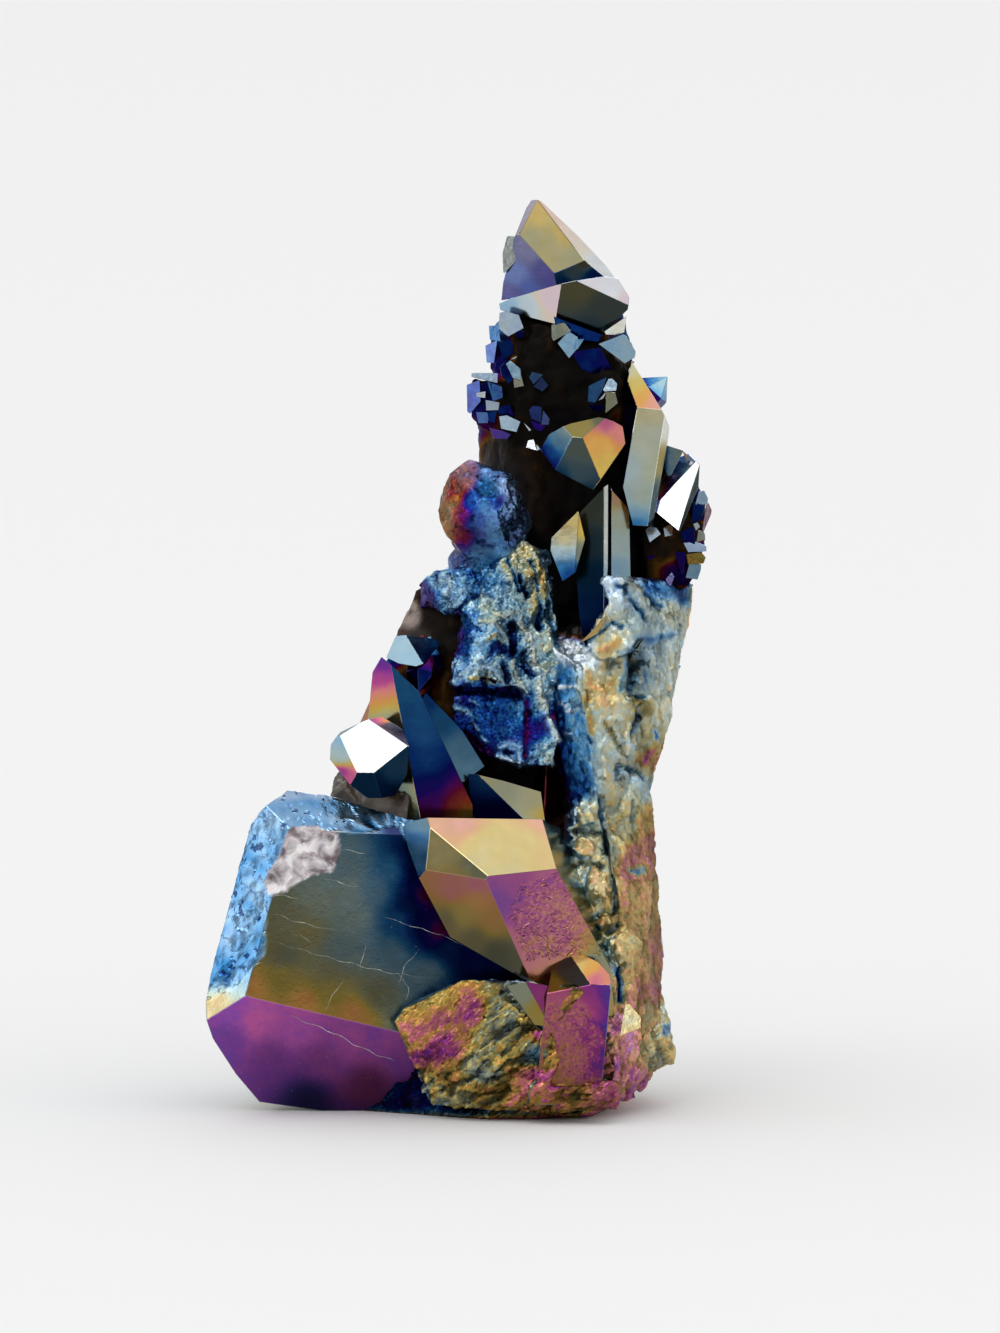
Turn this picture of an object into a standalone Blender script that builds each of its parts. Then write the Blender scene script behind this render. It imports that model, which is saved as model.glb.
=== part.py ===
"""Quartz cluster, about 91 mm tall: intergrown crystals and the rock mass that they grew from, as one solid.

It stands on a ground-flat base at z = 0. +X is to the right, +Y away and +Z up, all seen from the front.
Sizes below are in millimetres, and the meshes are in metres.
"""

import itertools
import math
import random

import bmesh
import bpy
from mathutils import Matrix, Vector

MM = 0.001

# The cluster is laid out on a sheet that leans back by this angle: x to the right, height up the sheet,
# and depth straight behind it.
SHEET_LEAN = math.radians(6.0)
RIGHT = Vector((1.0, 0.0, 0.0))
UP = Vector((0.0, math.sin(SHEET_LEAN), math.cos(SHEET_LEAN)))
AWAY = Vector((0.0, math.cos(SHEET_LEAN), -math.sin(SHEET_LEAN)))

# Quartz: a hexagonal prism closed by six faces, whose normals rise this far above the prism's own.
TIP_FACE_RISE = math.radians(38.2)


def at(x, height, depth):
    """The point at a spot of the layout sheet, this far behind it."""
    return RIGHT * x + UP * height + AWAY * depth


def corners_of(planes):
    """The corners of the convex body that lies behind all of these planes."""
    corners = []
    for first, second, third in itertools.combinations(planes, 3):
        rows = Matrix((first[1], second[1], third[1]))
        if abs(rows.determinant()) < 1e-4:
            continue
        offsets = Vector([normal.dot(point) for point, normal in (first, second, third)])
        corner = rows.inverted() @ offsets
        if all((corner - point).dot(normal) < 1e-4 for point, normal in planes):
            corners.append(corner)
    return corners


def wrap(shape):
    """Keeps only the convex hull of a bmesh's points."""
    hull = bmesh.ops.convex_hull(shape, input=shape.verts[:], use_existing_faces=False)
    spare = {item for item in hull["geom_interior"] + hull["geom_unused"] if isinstance(item, bmesh.types.BMVert)}
    bmesh.ops.delete(shape, geom=list(spare), context="VERTS")


def hull_mesh(name, corners):
    """A closed mesh around these points, given in millimetres. What would lie below z = 0 is ground away."""
    shape = bmesh.new()
    for corner in corners:
        shape.verts.new(Vector(corner) * MM)
    bmesh.ops.remove_doubles(shape, verts=shape.verts[:], dist=0.02 * MM)
    wrap(shape)
    if min(corner.co.z for corner in shape.verts) < 0.0:
        everything = shape.verts[:] + shape.edges[:] + shape.faces[:]
        bmesh.ops.bisect_plane(shape, geom=everything, plane_co=(0, 0, 0), plane_no=(0, 0, -1), clear_outer=True)
        bmesh.ops.delete(shape, geom=shape.edges[:], context="EDGES_FACES")
        for corner in shape.verts:
            if abs(corner.co.z) < 0.01 * MM:
                corner.co.z = 0.0
        bmesh.ops.remove_doubles(shape, verts=shape.verts[:], dist=0.02 * MM)
        wrap(shape)
    bmesh.ops.recalc_face_normals(shape, faces=shape.faces[:])
    mesh = bpy.data.meshes.new(name)
    shape.to_mesh(mesh)
    shape.free()
    return mesh


class Crystal:
    """A convex crystal, built face by face: a first face with its tilt, then faces folded back from its edges."""

    def __init__(self, name):
        self.name = name
        self.faces = {}

    def face(self, name, spot, depth, turn, nod):
        """The first face, through one spot of the sheet. It is turned to the right and nods up, in degrees."""
        turn, nod = math.radians(turn), math.radians(nod)
        forward = -AWAY * math.cos(turn) + RIGHT * math.sin(turn)
        self.faces[name] = (at(*spot, depth), forward * math.cos(nod) + UP * math.sin(nod))
        return self

    def lift(self, name, spot):
        """The point of a face that lies over a spot of the sheet."""
        point, normal = self.faces[name]
        start = at(*spot, 0.0)
        return start + AWAY * ((point - start).dot(normal) / AWAY.dot(normal))

    def fold(self, name, parent, start, end, angle):
        """A face folded back from its parent along an edge. It lies on the left when walking from start to end."""
        first, last = self.lift(parent, start), self.lift(parent, end)
        facing = self.faces[parent][1]
        outward = facing.cross((last - first).normalized())
        angle = math.radians(angle)
        self.faces[name] = (first, facing * math.cos(angle) + outward * math.sin(angle))
        return self

    def rim(self, parent, *spots, lean=20):
        """Closes the hidden far side behind each stretch of a face's outline, leaning in by this angle."""
        for start, end in zip(spots, spots[1:]):
            first, last = self.lift(parent, start), self.lift(parent, end)
            along = (last - first).normalized()
            outward = along.cross(AWAY).normalized()
            hidden = along.cross(outward)
            hidden *= math.copysign(1.0, hidden.dot(AWAY))
            angle = math.radians(lean)
            self.faces[f"rim {len(self.faces)}"] = (first, outward * math.cos(angle) + hidden * math.sin(angle))
        return self

    def behind(self, depth):
        self.faces["back"] = (at(0.0, 0.0, depth), AWAY)
        return self

    def within(self, left, right, low, high):
        """Where the crystal ends inside the rock, on its sides, below and above."""
        self.faces["left end"] = (at(left, 0.0, 0.0), -RIGHT)
        self.faces["right end"] = (at(right, 0.0, 0.0), RIGHT)
        self.faces["low end"] = (at(0.0, low, 0.0), -UP)
        self.faces["high end"] = (at(0.0, high, 0.0), UP)
        return self

    def mesh(self):
        return hull_mesh(self.name, corners_of(list(self.faces.values())))


def quartz_point(name, tip, lean, radius, length, roll=0.0, uneven=0.12, seed=0):
    """A whole quartz crystal: its tip (x, height, depth), the direction that it points in, radius and length."""
    chance = random.Random(seed)
    axis = (RIGHT * lean[0] + UP * lean[1] + AWAY * lean[2]).normalized()
    side = axis.orthogonal().normalized()
    tip = at(*tip)
    planes = [(tip - axis * length, -axis)]
    rise = radius * math.tan(math.pi / 2 - TIP_FACE_RISE)
    for step in range(6):
        outward = Matrix.Rotation(math.radians(roll + 60 * step), 3, axis) @ side
        spread = radius * (1 + chance.uniform(-uneven, uneven))
        planes.append((tip + outward * spread, outward))
        sloping = outward * math.cos(TIP_FACE_RISE) + axis * math.sin(TIP_FACE_RISE)
        drop = chance.uniform(0.0, uneven) * rise * (1 if step % 2 else 0.25)
        planes.append((tip - axis * drop, sloping))
    return hull_mesh(name, corners_of(planes))


def block(name, *corners):
    """A lump of rock: the hull of corners given as (x, height, depth)."""
    return hull_mesh(name, [at(*corner) for corner in corners])


def boulder(name, centre, reach, count, seed, lean=0.0):
    """A rounded lump with flat facets: count corners spread over an egg of the given reach, and pushed in or out."""
    chance = random.Random(seed)
    corners = []
    golden = math.pi * (3 - math.sqrt(5))
    for number in range(count):
        height = 1 - 2 * (number + 0.5) / count
        ring = math.sqrt(1 - height * height)
        turn = golden * number + seed
        size = chance.uniform(0.9, 1.06)
        x, up, depth = ring * math.cos(turn) * reach[0], height * reach[1], ring * math.sin(turn) * reach[2]
        x += lean * up
        corners.append(at(centre[0] + x * size, centre[1] + up * size, centre[2] + depth * size))
    return hull_mesh(name, corners)


def named_crystals():
    """The large crystals, each with the facets that make it recognisable."""
    made = []

    crown = Crystal("crown")
    crown.face("brow", (11.5, 79.6), -4.0, turn=0, nod=-20)
    crown.fold("step", "brow", (9.1, 81.8), (10.9, 82.2), 25)
    crown.fold("blush", "brow", (10.9, 82.2), (15.7, 79.7), 38)
    crown.fold("cheek", "brow", (8.6, 78.7), (9.1, 81.8), 42)
    crown.fold("front", "step", (8.5, 83.0), (11.5, 84.4), 22)
    crown.fold("flank", "front", (6.9, 90.3), (11.5, 84.4), 48)
    crown.fold("violet", "front", (8.5, 83.0), (5.1, 87.1), 34)
    crown.rim("brow", (15.9, 79.7), (13.4, 77.0), (9.0, 77.6), lean=15)
    crown.rim("cheek", (9.0, 77.6), (5.4, 78.1), (2.3, 79.3), lean=10)
    crown.rim("violet", (2.3, 79.3), (3.1, 84.4), (4.8, 88.5), lean=26)
    crown.rim("front", (4.8, 88.5), (6.3, 90.9), (6.9, 91.0), lean=26)
    crown.rim("flank", (6.9, 91.0), (10.7, 88.0), (14.6, 83.2), lean=26)
    crown.rim("blush", (14.6, 83.2), (16.1, 80.8), (15.7, 79.6), lean=10)
    crown.behind(8.0)
    made.append(crown.mesh())

    amber = Crystal("amber crystal")
    amber.face("green", (10.7, 63.4), -10.0, turn=-8, nod=-12)
    amber.fold("orange", "green", (11.2, 66.5), (13.0, 62.3), 45)
    amber.fold("olive", "green", (10.2, 66.6), (11.2, 66.5), 55)
    amber.fold("teal", "green", (8.5, 63.3), (10.1, 66.4), 38)
    amber.rim("green", (13.0, 62.3), (11.2, 60.0), (8.5, 63.3), lean=5)
    amber.rim("orange", (13.3, 68.5), (15.2, 67.9), (15.6, 65.2), (13.0, 61.6), lean=8)
    amber.rim("olive", (10.2, 68.0), (13.3, 68.7), (15.2, 68.1), lean=15)
    amber.rim("teal", (8.5, 63.3), (6.6, 64.6), (7.9, 66.9), (10.2, 68.2), lean=10)
    amber.behind(4.0)
    made.append(amber.mesh())

    column = Crystal("column crystal")
    column.face("front", (17.5, 64.4), -7.0, turn=4, nod=-2)
    column.fold("cap", "front", (17.0, 69.4), (18.6, 69.4), 34)
    column.fold("right", "front", (19.2, 67.9), (17.6, 57.6), 52)
    column.fold("left", "front", (15.5, 59.6), (16.9, 69.0), 56)
    column.rim("cap", (15.5, 71.9), (15.9, 74.4), (16.6, 74.5), (17.4, 73.2), (19.4, 69.9), lean=8)
    column.rim("right", (19.3, 70.0), (20.1, 68.1), (19.6, 60.0), lean=8)
    column.behind(7.0)
    column.within(14.0, 20.4, 56.0, 75.0)
    made.append(column.mesh())

    mirror = Crystal("mirror crystal")
    mirror.face("white", (20.9, 60.9), -6.0, turn=-10, nod=22)
    mirror.fold("top", "white", (18.6, 59.8), (21.7, 63.7), 42)
    mirror.fold("right", "white", (22.8, 63.6), (20.8, 57.6), 50)
    mirror.rim("white", (21.6, 64.2), (22.9, 63.9), lean=15)
    mirror.rim("white", (20.8, 57.4), (18.4, 59.4), lean=20)
    mirror.rim("top", (19.0, 65.9), (21.3, 65.6), (22.3, 64.2), lean=20)
    mirror.rim("right", (23.4, 63.4), (23.7, 60.0), (21.5, 56.8), lean=10)
    mirror.behind(6.0)
    made.append(mirror.mesh())

    twin = Crystal("striped crystal")
    twin.face("pale", (15.0, 56.9), -8.5, turn=25, nod=4)
    twin.fold("strip", "pale", (13.7, 52.8), (14.2, 61.5), 30)
    twin.fold("dark", "strip", (12.9, 52.8), (13.5, 61.5), 28)
    twin.rim("pale", (14.1, 61.9), (15.7, 60.2), (16.3, 50.0))
    twin.rim("dark", (9.6, 49.0), (11.0, 59.6), (13.6, 61.9))
    twin.behind(4.0)
    twin.within(9.0, 16.6, 47.5, 63.0)
    made.append(twin.mesh())

    flame = Crystal("gilt crystal")
    flame.face("gold", (9.6, 55.5), -9.5, turn=-14, nod=12)
    flame.fold("ochre", "gold", (10.9, 59.2), (10.4, 53.0), 50)
    flame.rim("gold", (8.0, 55.3), (8.1, 56.6), (10.9, 59.4))
    flame.rim("gold", (10.4, 53.0), (9.2, 52.2), (8.0, 55.3))
    flame.rim("ochre", (10.8, 59.4), (11.5, 56.4), (10.4, 52.6))
    flame.behind(2.0)
    made.append(flame.mesh())

    lamp = Crystal("pale blue crystal")
    lamp.face("light", (-6.5, 45.4), -9.5, turn=-25, nod=28)
    lamp.fold("right", "light", (-6.4, 46.9), (-4.7, 44.1), 42)
    lamp.rim("light", (-8.3, 44.7), (-7.4, 46.8), (-6.4, 46.9))
    lamp.rim("light", (-4.9, 43.9), (-6.0, 43.5), (-8.3, 44.6))
    lamp.rim("right", (-6.4, 47.0), (-3.9, 47.0), (-2.9, 45.9), (-3.2, 43.8), (-5.2, 43.4))
    lamp.behind(0.0)
    made.append(lamp.mesh())

    blade = Crystal("blade crystal")
    blade.face("blue", (-4.0, 34.4), -10.0, turn=6, nod=-4)
    blade.fold("ember", "blue", (-6.2, 35.3), (-7.8, 43.6), 42)
    blade.rim("blue", (-7.7, 43.8), (-5.0, 41.2), (0.3, 30.0), (0.4, 27.0), lean=8)
    blade.rim("ember", (-10.2, 38.0), (-9.7, 43.2), (-8.7, 44.9), (-7.7, 44.0), lean=8)
    blade.behind(1.0)
    blade.within(-10.4, 3.0, 26.0, 46.0)
    made.append(blade.mesh())

    splint = Crystal("second blade crystal")
    splint.face("blue", (-1.5, 36.5), -8.6, turn=16, nod=2)
    splint.rim("blue", (-3.2, 33.0), (-4.9, 40.2), (-4.4, 41.2), (-0.8, 37.5), (1.5, 33.8), (-0.6, 32.2), (-3.2, 33.0))
    splint.behind(1.0)
    made.append(splint.mesh())

    knob = Crystal("white crystal")
    knob.face("white", (-9.6, 35.6), -13.0, turn=-8, nod=18)
    knob.fold("top", "white", (-10.2, 38.6), (-6.2, 35.9), 40)
    knob.fold("shoulder", "white", (-12.1, 37.4), (-10.2, 38.6), 48)
    knob.fold("left", "white", (-11.2, 33.2), (-12.4, 35.8), 42)
    knob.fold("under", "white", (-6.2, 35.8), (-9.5, 33.2), 48)
    knob.fold("chin", "white", (-9.5, 33.2), (-11.2, 33.2), 46)
    knob.rim("left", (-12.9, 32.2), (-14.0, 33.6), (-13.8, 36.8), (-12.1, 38.0))
    knob.rim("under", (-6.0, 35.6), (-6.2, 33.0), (-7.4, 30.9), (-10.2, 30.4), (-12.9, 32.0))
    knob.rim("top", (-12.1, 38.4), (-11.0, 39.5), (-10.0, 39.5), (-6.4, 37.4), (-6.0, 35.8), lean=8)
    knob.behind(-2.0)
    made.append(knob.mesh())

    prow = Crystal("gold and magenta crystal")
    prow.face("magenta", (7.0, 19.4), -16.5, turn=12, nod=-14)
    prow.fold("gold", "magenta", (1.9, 23.0), (8.6, 23.7), 46)
    prow.fold("gradient", "magenta", (5.3, 14.2), (1.6, 22.6), 34)
    prow.fold("olive", "gold", (1.1, 23.6), (-3.6, 27.5), 34)
    prow.fold("left", "olive", (-4.6, 21.5), (-4.0, 27.0), 36)
    prow.fold("flank", "magenta", (8.6, 23.7), (12.6, 16.6), 50)
    prow.rim("gold", (-5.9, 28.8), (7.1, 28.6), (8.6, 23.7), lean=10)
    prow.rim("left", (-4.6, 21.5), (-6.8, 27.6), (-5.9, 28.8), lean=10)
    prow.rim("gradient", (2.0, 14.6), (-2.9, 17.4), (-4.8, 21.6), lean=10)
    prow.rim("flank", (8.4, 26.6), (11.4, 22.1), (13.3, 14.6), lean=10)
    prow.behind(0.0)
    prow.within(-8.0, 15.0, 9.0, 30.0)
    made.append(prow.mesh())

    mate = Crystal("olive crystal")
    mate.face("navy", (1.8, 30.6), -9.5, turn=-16, nod=-8)
    mate.fold("olive", "navy", (1.0, 32.8), (5.1, 28.8), 42)
    mate.rim("navy", (0.4, 27.0), (-0.2, 33.1), (1.0, 33.0))
    mate.rim("olive", (1.0, 33.1), (7.1, 31.3), (7.7, 27.0))
    mate.behind(2.0)
    mate.within(-1.0, 8.0, 25.0, 34.0)
    made.append(mate.mesh())

    base = Crystal("base crystal")
    base.face("front", (-12.5, 17.4), -12.0, turn=8, nod=-4)
    base.fold("rim", "front", (-21.2, 15.0), (-17.8, 27.5), 34)
    base.fold("belly", "front", (-8.0, 7.6), (-23.9, 11.4), 30)
    base.fold("shelf", "front", (-17.6, 27.5), (-6.0, 27.0), 40)
    base.rim("rim", (-26.7, 10.0), (-25.6, 14.1), (-24.0, 21.1), (-22.2, 27.5), (-21.0, 29.5), lean=25)
    base.rim("belly", (-12.0, -1.0), (-21.0, 0.3), (-23.4, 3.2), (-25.6, 6.7), (-26.7, 10.0), lean=25)
    base.rim("shelf", (-21.0, 29.5), (-18.1, 31.5), (-14.3, 31.0), (-6.0, 28.6), lean=20)
    base.behind(9.0)
    base.within(-27.0, 4.0, -6.0, 32.0)
    made.append(base.mesh())

    ember = Crystal("small amber crystal")
    ember.face("prism", (11.6, 10.4), -15.5, turn=-4, nod=-6)
    ember.fold("cap", "prism", (10.0, 12.9), (13.4, 12.9), 46)
    ember.rim("cap", (10.0, 12.8), (10.0, 15.1), (12.1, 14.7), (13.6, 13.6), (13.6, 12.6))
    ember.rim("prism", (13.6, 12.9), (14.3, 5.9), (8.0, 4.0), (8.3, 8.2), (10.0, 12.8), lean=5)
    ember.behind(-4.5)
    made.append(ember.mesh())

    wedge = Crystal("small wedge crystal")
    wedge.face("magenta", (7.6, 10.6), -17.0, turn=14, nod=10)
    wedge.fold("olive", "magenta", (7.9, 8.2), (5.6, 12.4), 36)
    wedge.rim("magenta", (5.7, 12.5), (9.8, 11.7), (7.9, 8.2), lean=9)
    wedge.rim("olive", (7.9, 8.0), (6.4, 8.2), (3.6, 12.1), (6.2, 12.6), lean=12)
    wedge.behind(-6.0)
    made.append(wedge.mesh())
    return made


def rock():
    """The broken and overgrown mass that carries the crystals, from the base up."""
    made = []
    made.append(block(
        "foot",
        (-15, -0.6, -7), (-7, -1.4, -12.4), (4, -1.5, -13.4), (12, -1, -12), (14, 0, -8), (16, 3.2, 2), (13, -2, 12),
        (-10, -2, 13), (-18, 1, 4), (-16, 14, 6), (-10, 20, 10), (14, 22, 10), (18, 12, 4), (14, 10, -10),
        (-14, 12, -7), (2, 16, 14), (2, 8, -13.4),
    ))
    made.append(block(
        "right foot",
        (8, 0.5, -12), (15.5, 0.4, -9), (16.8, 2.5, -7), (20.5, 4.0, -3), (20.6, 6.2, -3), (18.8, 9.8, -3),
        (18.6, 13, -2), (9, 13, -12), (12, 2, 8), (19, 6, 6), (17, 14, 8),
    ))
    made.append(block(
        "mottled crust",
        (-7.6, 8.4, -12.6), (-6.6, 9.8, -12.4), (-0.6, 12.8, -14.8), (4.0, 12.8, -15.4), (9.6, 11.8, -14.6),
        (8.0, 7.0, -15.8), (0.0, 5.0, -15.6), (-3.2, 3.4, -13.6), (-4.0, 0, -11), (8, -1, -12), (8, 12, -8), (-7, 10, -9),
    ))
    made.append(block(
        "scaly crust",
        (-4.2, 1.2, -12.8), (-3.0, 3.6, -14.6), (-0.6, 6.4, -15.8), (3.8, 10.6, -16.6), (5.4, 8.2, -17.2),
        (7.4, 7.8, -16.4), (7.2, 3.6, -16.0), (0.4, -0.4, -14.0), (6, -0.6, -14.0), (4, 4, -17.0), (0, 1, -8), (7, 6, -9),
    ))
    made.append(block(
        "rough front",
        (7, -0.4, -14.2), (7, 7.8, -16.2), (13, 7.0, -15.6), (14.6, 3.4, -14.0), (14, 0.0, -12), (10, 8.6, -14.6),
        (6.6, 3.6, -16.2), (11, 0.2, -15.0), (14, 8, -6), (7, 8, -6),
    ))
    made.append(block(
        "spine",
        (-8, 8, 0), (16, 8, 0), (14, 12, 12), (-6, 12, 13), (-6, 30, 11), (15, 30, 11), (-7, 30, -3), (17, 30, -2),
        (-4, 44, -2), (19, 46, -1), (17, 46, 10), (-2, 44, 10), (4, 50, 11), (12, 52, 11),
    ))
    made.append(block(
        "neck",
        (-1, 40, -2), (19, 44, -1), (17, 44, 9), (1, 40, 10), (1.2, 60, -1.5), (18.5, 62, -1), (17, 62, 8), (2, 60, 8),
        (3, 74, -0.5), (16.5, 72, 0), (14, 76, 6), (5, 79, 6), (5, 80, 0), (14, 79, 0), (1.0, 67, 1),
    ))
    made.append(block(
        "lower pillar",
        (9.9, 27, -8), (9.1, 23.5, -9), (11, 20, -10), (12.4, 14, -11), (15, 11, -12), (17, 9, -11), (18.6, 13, -6),
        (19.4, 16, -4), (19.2, 21.5, -4), (18.8, 25, -4), (18.4, 30, -4), (18.0, 32, -4), (13, 27, -9.4), (15, 20, -11),
        (13.2, 31, -8.6), (16, 32, 8), (17, 12, 8), (8, 12, 8), (8, 31, 8),
    ))
    made.append(block(
        "pillar",
        (8.9, 33, -5.2), (10.1, 29, -6), (13.3, 27, -8.6), (12.2, 31.6, -9.2), (11.6, 37, -9.0), (11.2, 41, -8.8),
        (10.6, 43.5, -8.4), (7.1, 47, -5), (7.6, 41, -5), (12.6, 45.2, -8.6), (16, 49, -8.0), (20.4, 51, -5.0),
        (22.4, 51.6, -1), (21.1, 46.5, -4.6), (20.0, 38.5, -5.4), (18.2, 32, -6.0), (19.3, 36.0, -5.6), (16, 38, -9.2),
        (16, 29, -8.6), (21, 51, 6), (10, 48, 7), (10, 30, 8), (17, 30, 8),
    ))
    made.append(block(
        "pillar lip",
        (12.6, 52.4, -6.2), (15.6, 52.6, -6.8), (16.6, 51.4, -7.6), (18.6, 52.2, -5.6), (20.8, 51.6, -4.4),
        (22.6, 52.0, 0), (21, 48, -5), (16.6, 47.6, -8.2), (12.4, 47.2, -8.0), (12, 50, 5), (20, 52, 5),
    ))
    made.append(block(
        "cleaved mass",
        (3.4, 54.8, -5.8), (5.5, 56.2, -6.6), (7.7, 55.0, -6.6), (8.1, 50, -7.2), (8.9, 46, -7.6), (8.6, 34, -8.4),
        (5.6, 33.6, -9.4), (2.6, 34.4, -9.6), (-1.6, 38, -8.4), (-2.0, 44, -8.8), (-0.4, 49, -8.8), (3.0, 48, -9.4),
        (0.4, 53.4, -6.0), (3, 41.8, -10.4), (6, 42.5, -9.8), (8, 55, 4), (-2, 48, 4), (-2, 36, 4), (8, 34, 4),
    ))
    made.append(block(
        "cleaved ledge",
        (-1.8, 43.6, -9.4), (3.0, 44.0, -10.6), (6.4, 44.6, -9.4), (7.6, 46.0, -7.8), (0.6, 47.0, -8.6),
        (-1.6, 41.6, -9.6), (2.4, 41.2, -10.8), (5.4, 41.8, -10.0), (3, 44, 0), (0, 44, 0),
    ))
    made.append(block(
        "left lobe",
        (-3.7, 53.4, -5.8), (-5.4, 51.8, -4.4), (-5.2, 49.4, -4.0), (-1.2, 49.4, -8.4), (-0.2, 48.8, -8.2),
        (0.6, 52.4, -7.4), (0.2, 54.2, -5.4), (-2.6, 50.6, -7.8), (0, 50, 3), (-4, 49, 3), (-3, 53, 3),
    ))
    made.append(block(
        "left recess",
        (-5.4, 50, -3.6), (-6.0, 47, -3.6), (-8.4, 44.6, -3.8), (-9.6, 42.6, -4.0), (-9.8, 36, -4.6), (-5, 36, -6.4),
        (-0.6, 40, -7.2), (-0.2, 48, -6.8), (-7, 40, 7), (-2, 48, 6), (-2, 30, 8), (-9, 32, 5), (-3, 33, -6.2),
    ))
    made.append(block(
        "smoky quartz",
        (-13.7, 32.6, -7.4), (-14.2, 30.1, -7.8), (-13.0, 27.0, -8.4), (-6.6, 26.6, -10.2), (-6.0, 31.0, -9.6),
        (-8, 34, -7), (-12, 35, -5), (-13, 28, 3), (-5, 28, 5), (-6, 36, 3), (-11, 35, 2),
    ))
    made.append(block(
        "back slope",
        (-19, 3, 6), (-12, -1, 14), (3, -2, 16), (13, 0, 13), (17, 8, 9), (12, 22, 12), (-2, 26, 12), (-12, 20, 10),
        (-19, 16, 6), (-20, 10, 4), (6, 12, 16.5), (-8, 10, 15.5),
    ))
    made.append(boulder("bulb", (1.0, 59.2, -4.6), (4.5, 5.0, 4.4), 34, 3, lean=0.1))
    made.append(boulder("bulb root", (1.6, 53.8, -3.0), (4.2, 3.6, 4.0), 20, 5))
    made.append(block(
        "crown root",
        (3.0, 76.5, -1.5), (5.4, 78.6, -2.6), (13.4, 77.2, -2.2), (15.6, 79.4, 0), (13, 84, 3), (6, 84, 3), (5, 74, 6),
        (14, 74, 6), (2.4, 73, 0), (16.8, 74, -0.5), (4, 72, -1.6), (14.6, 73.4, -2.0),
    ))
    return made


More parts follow.
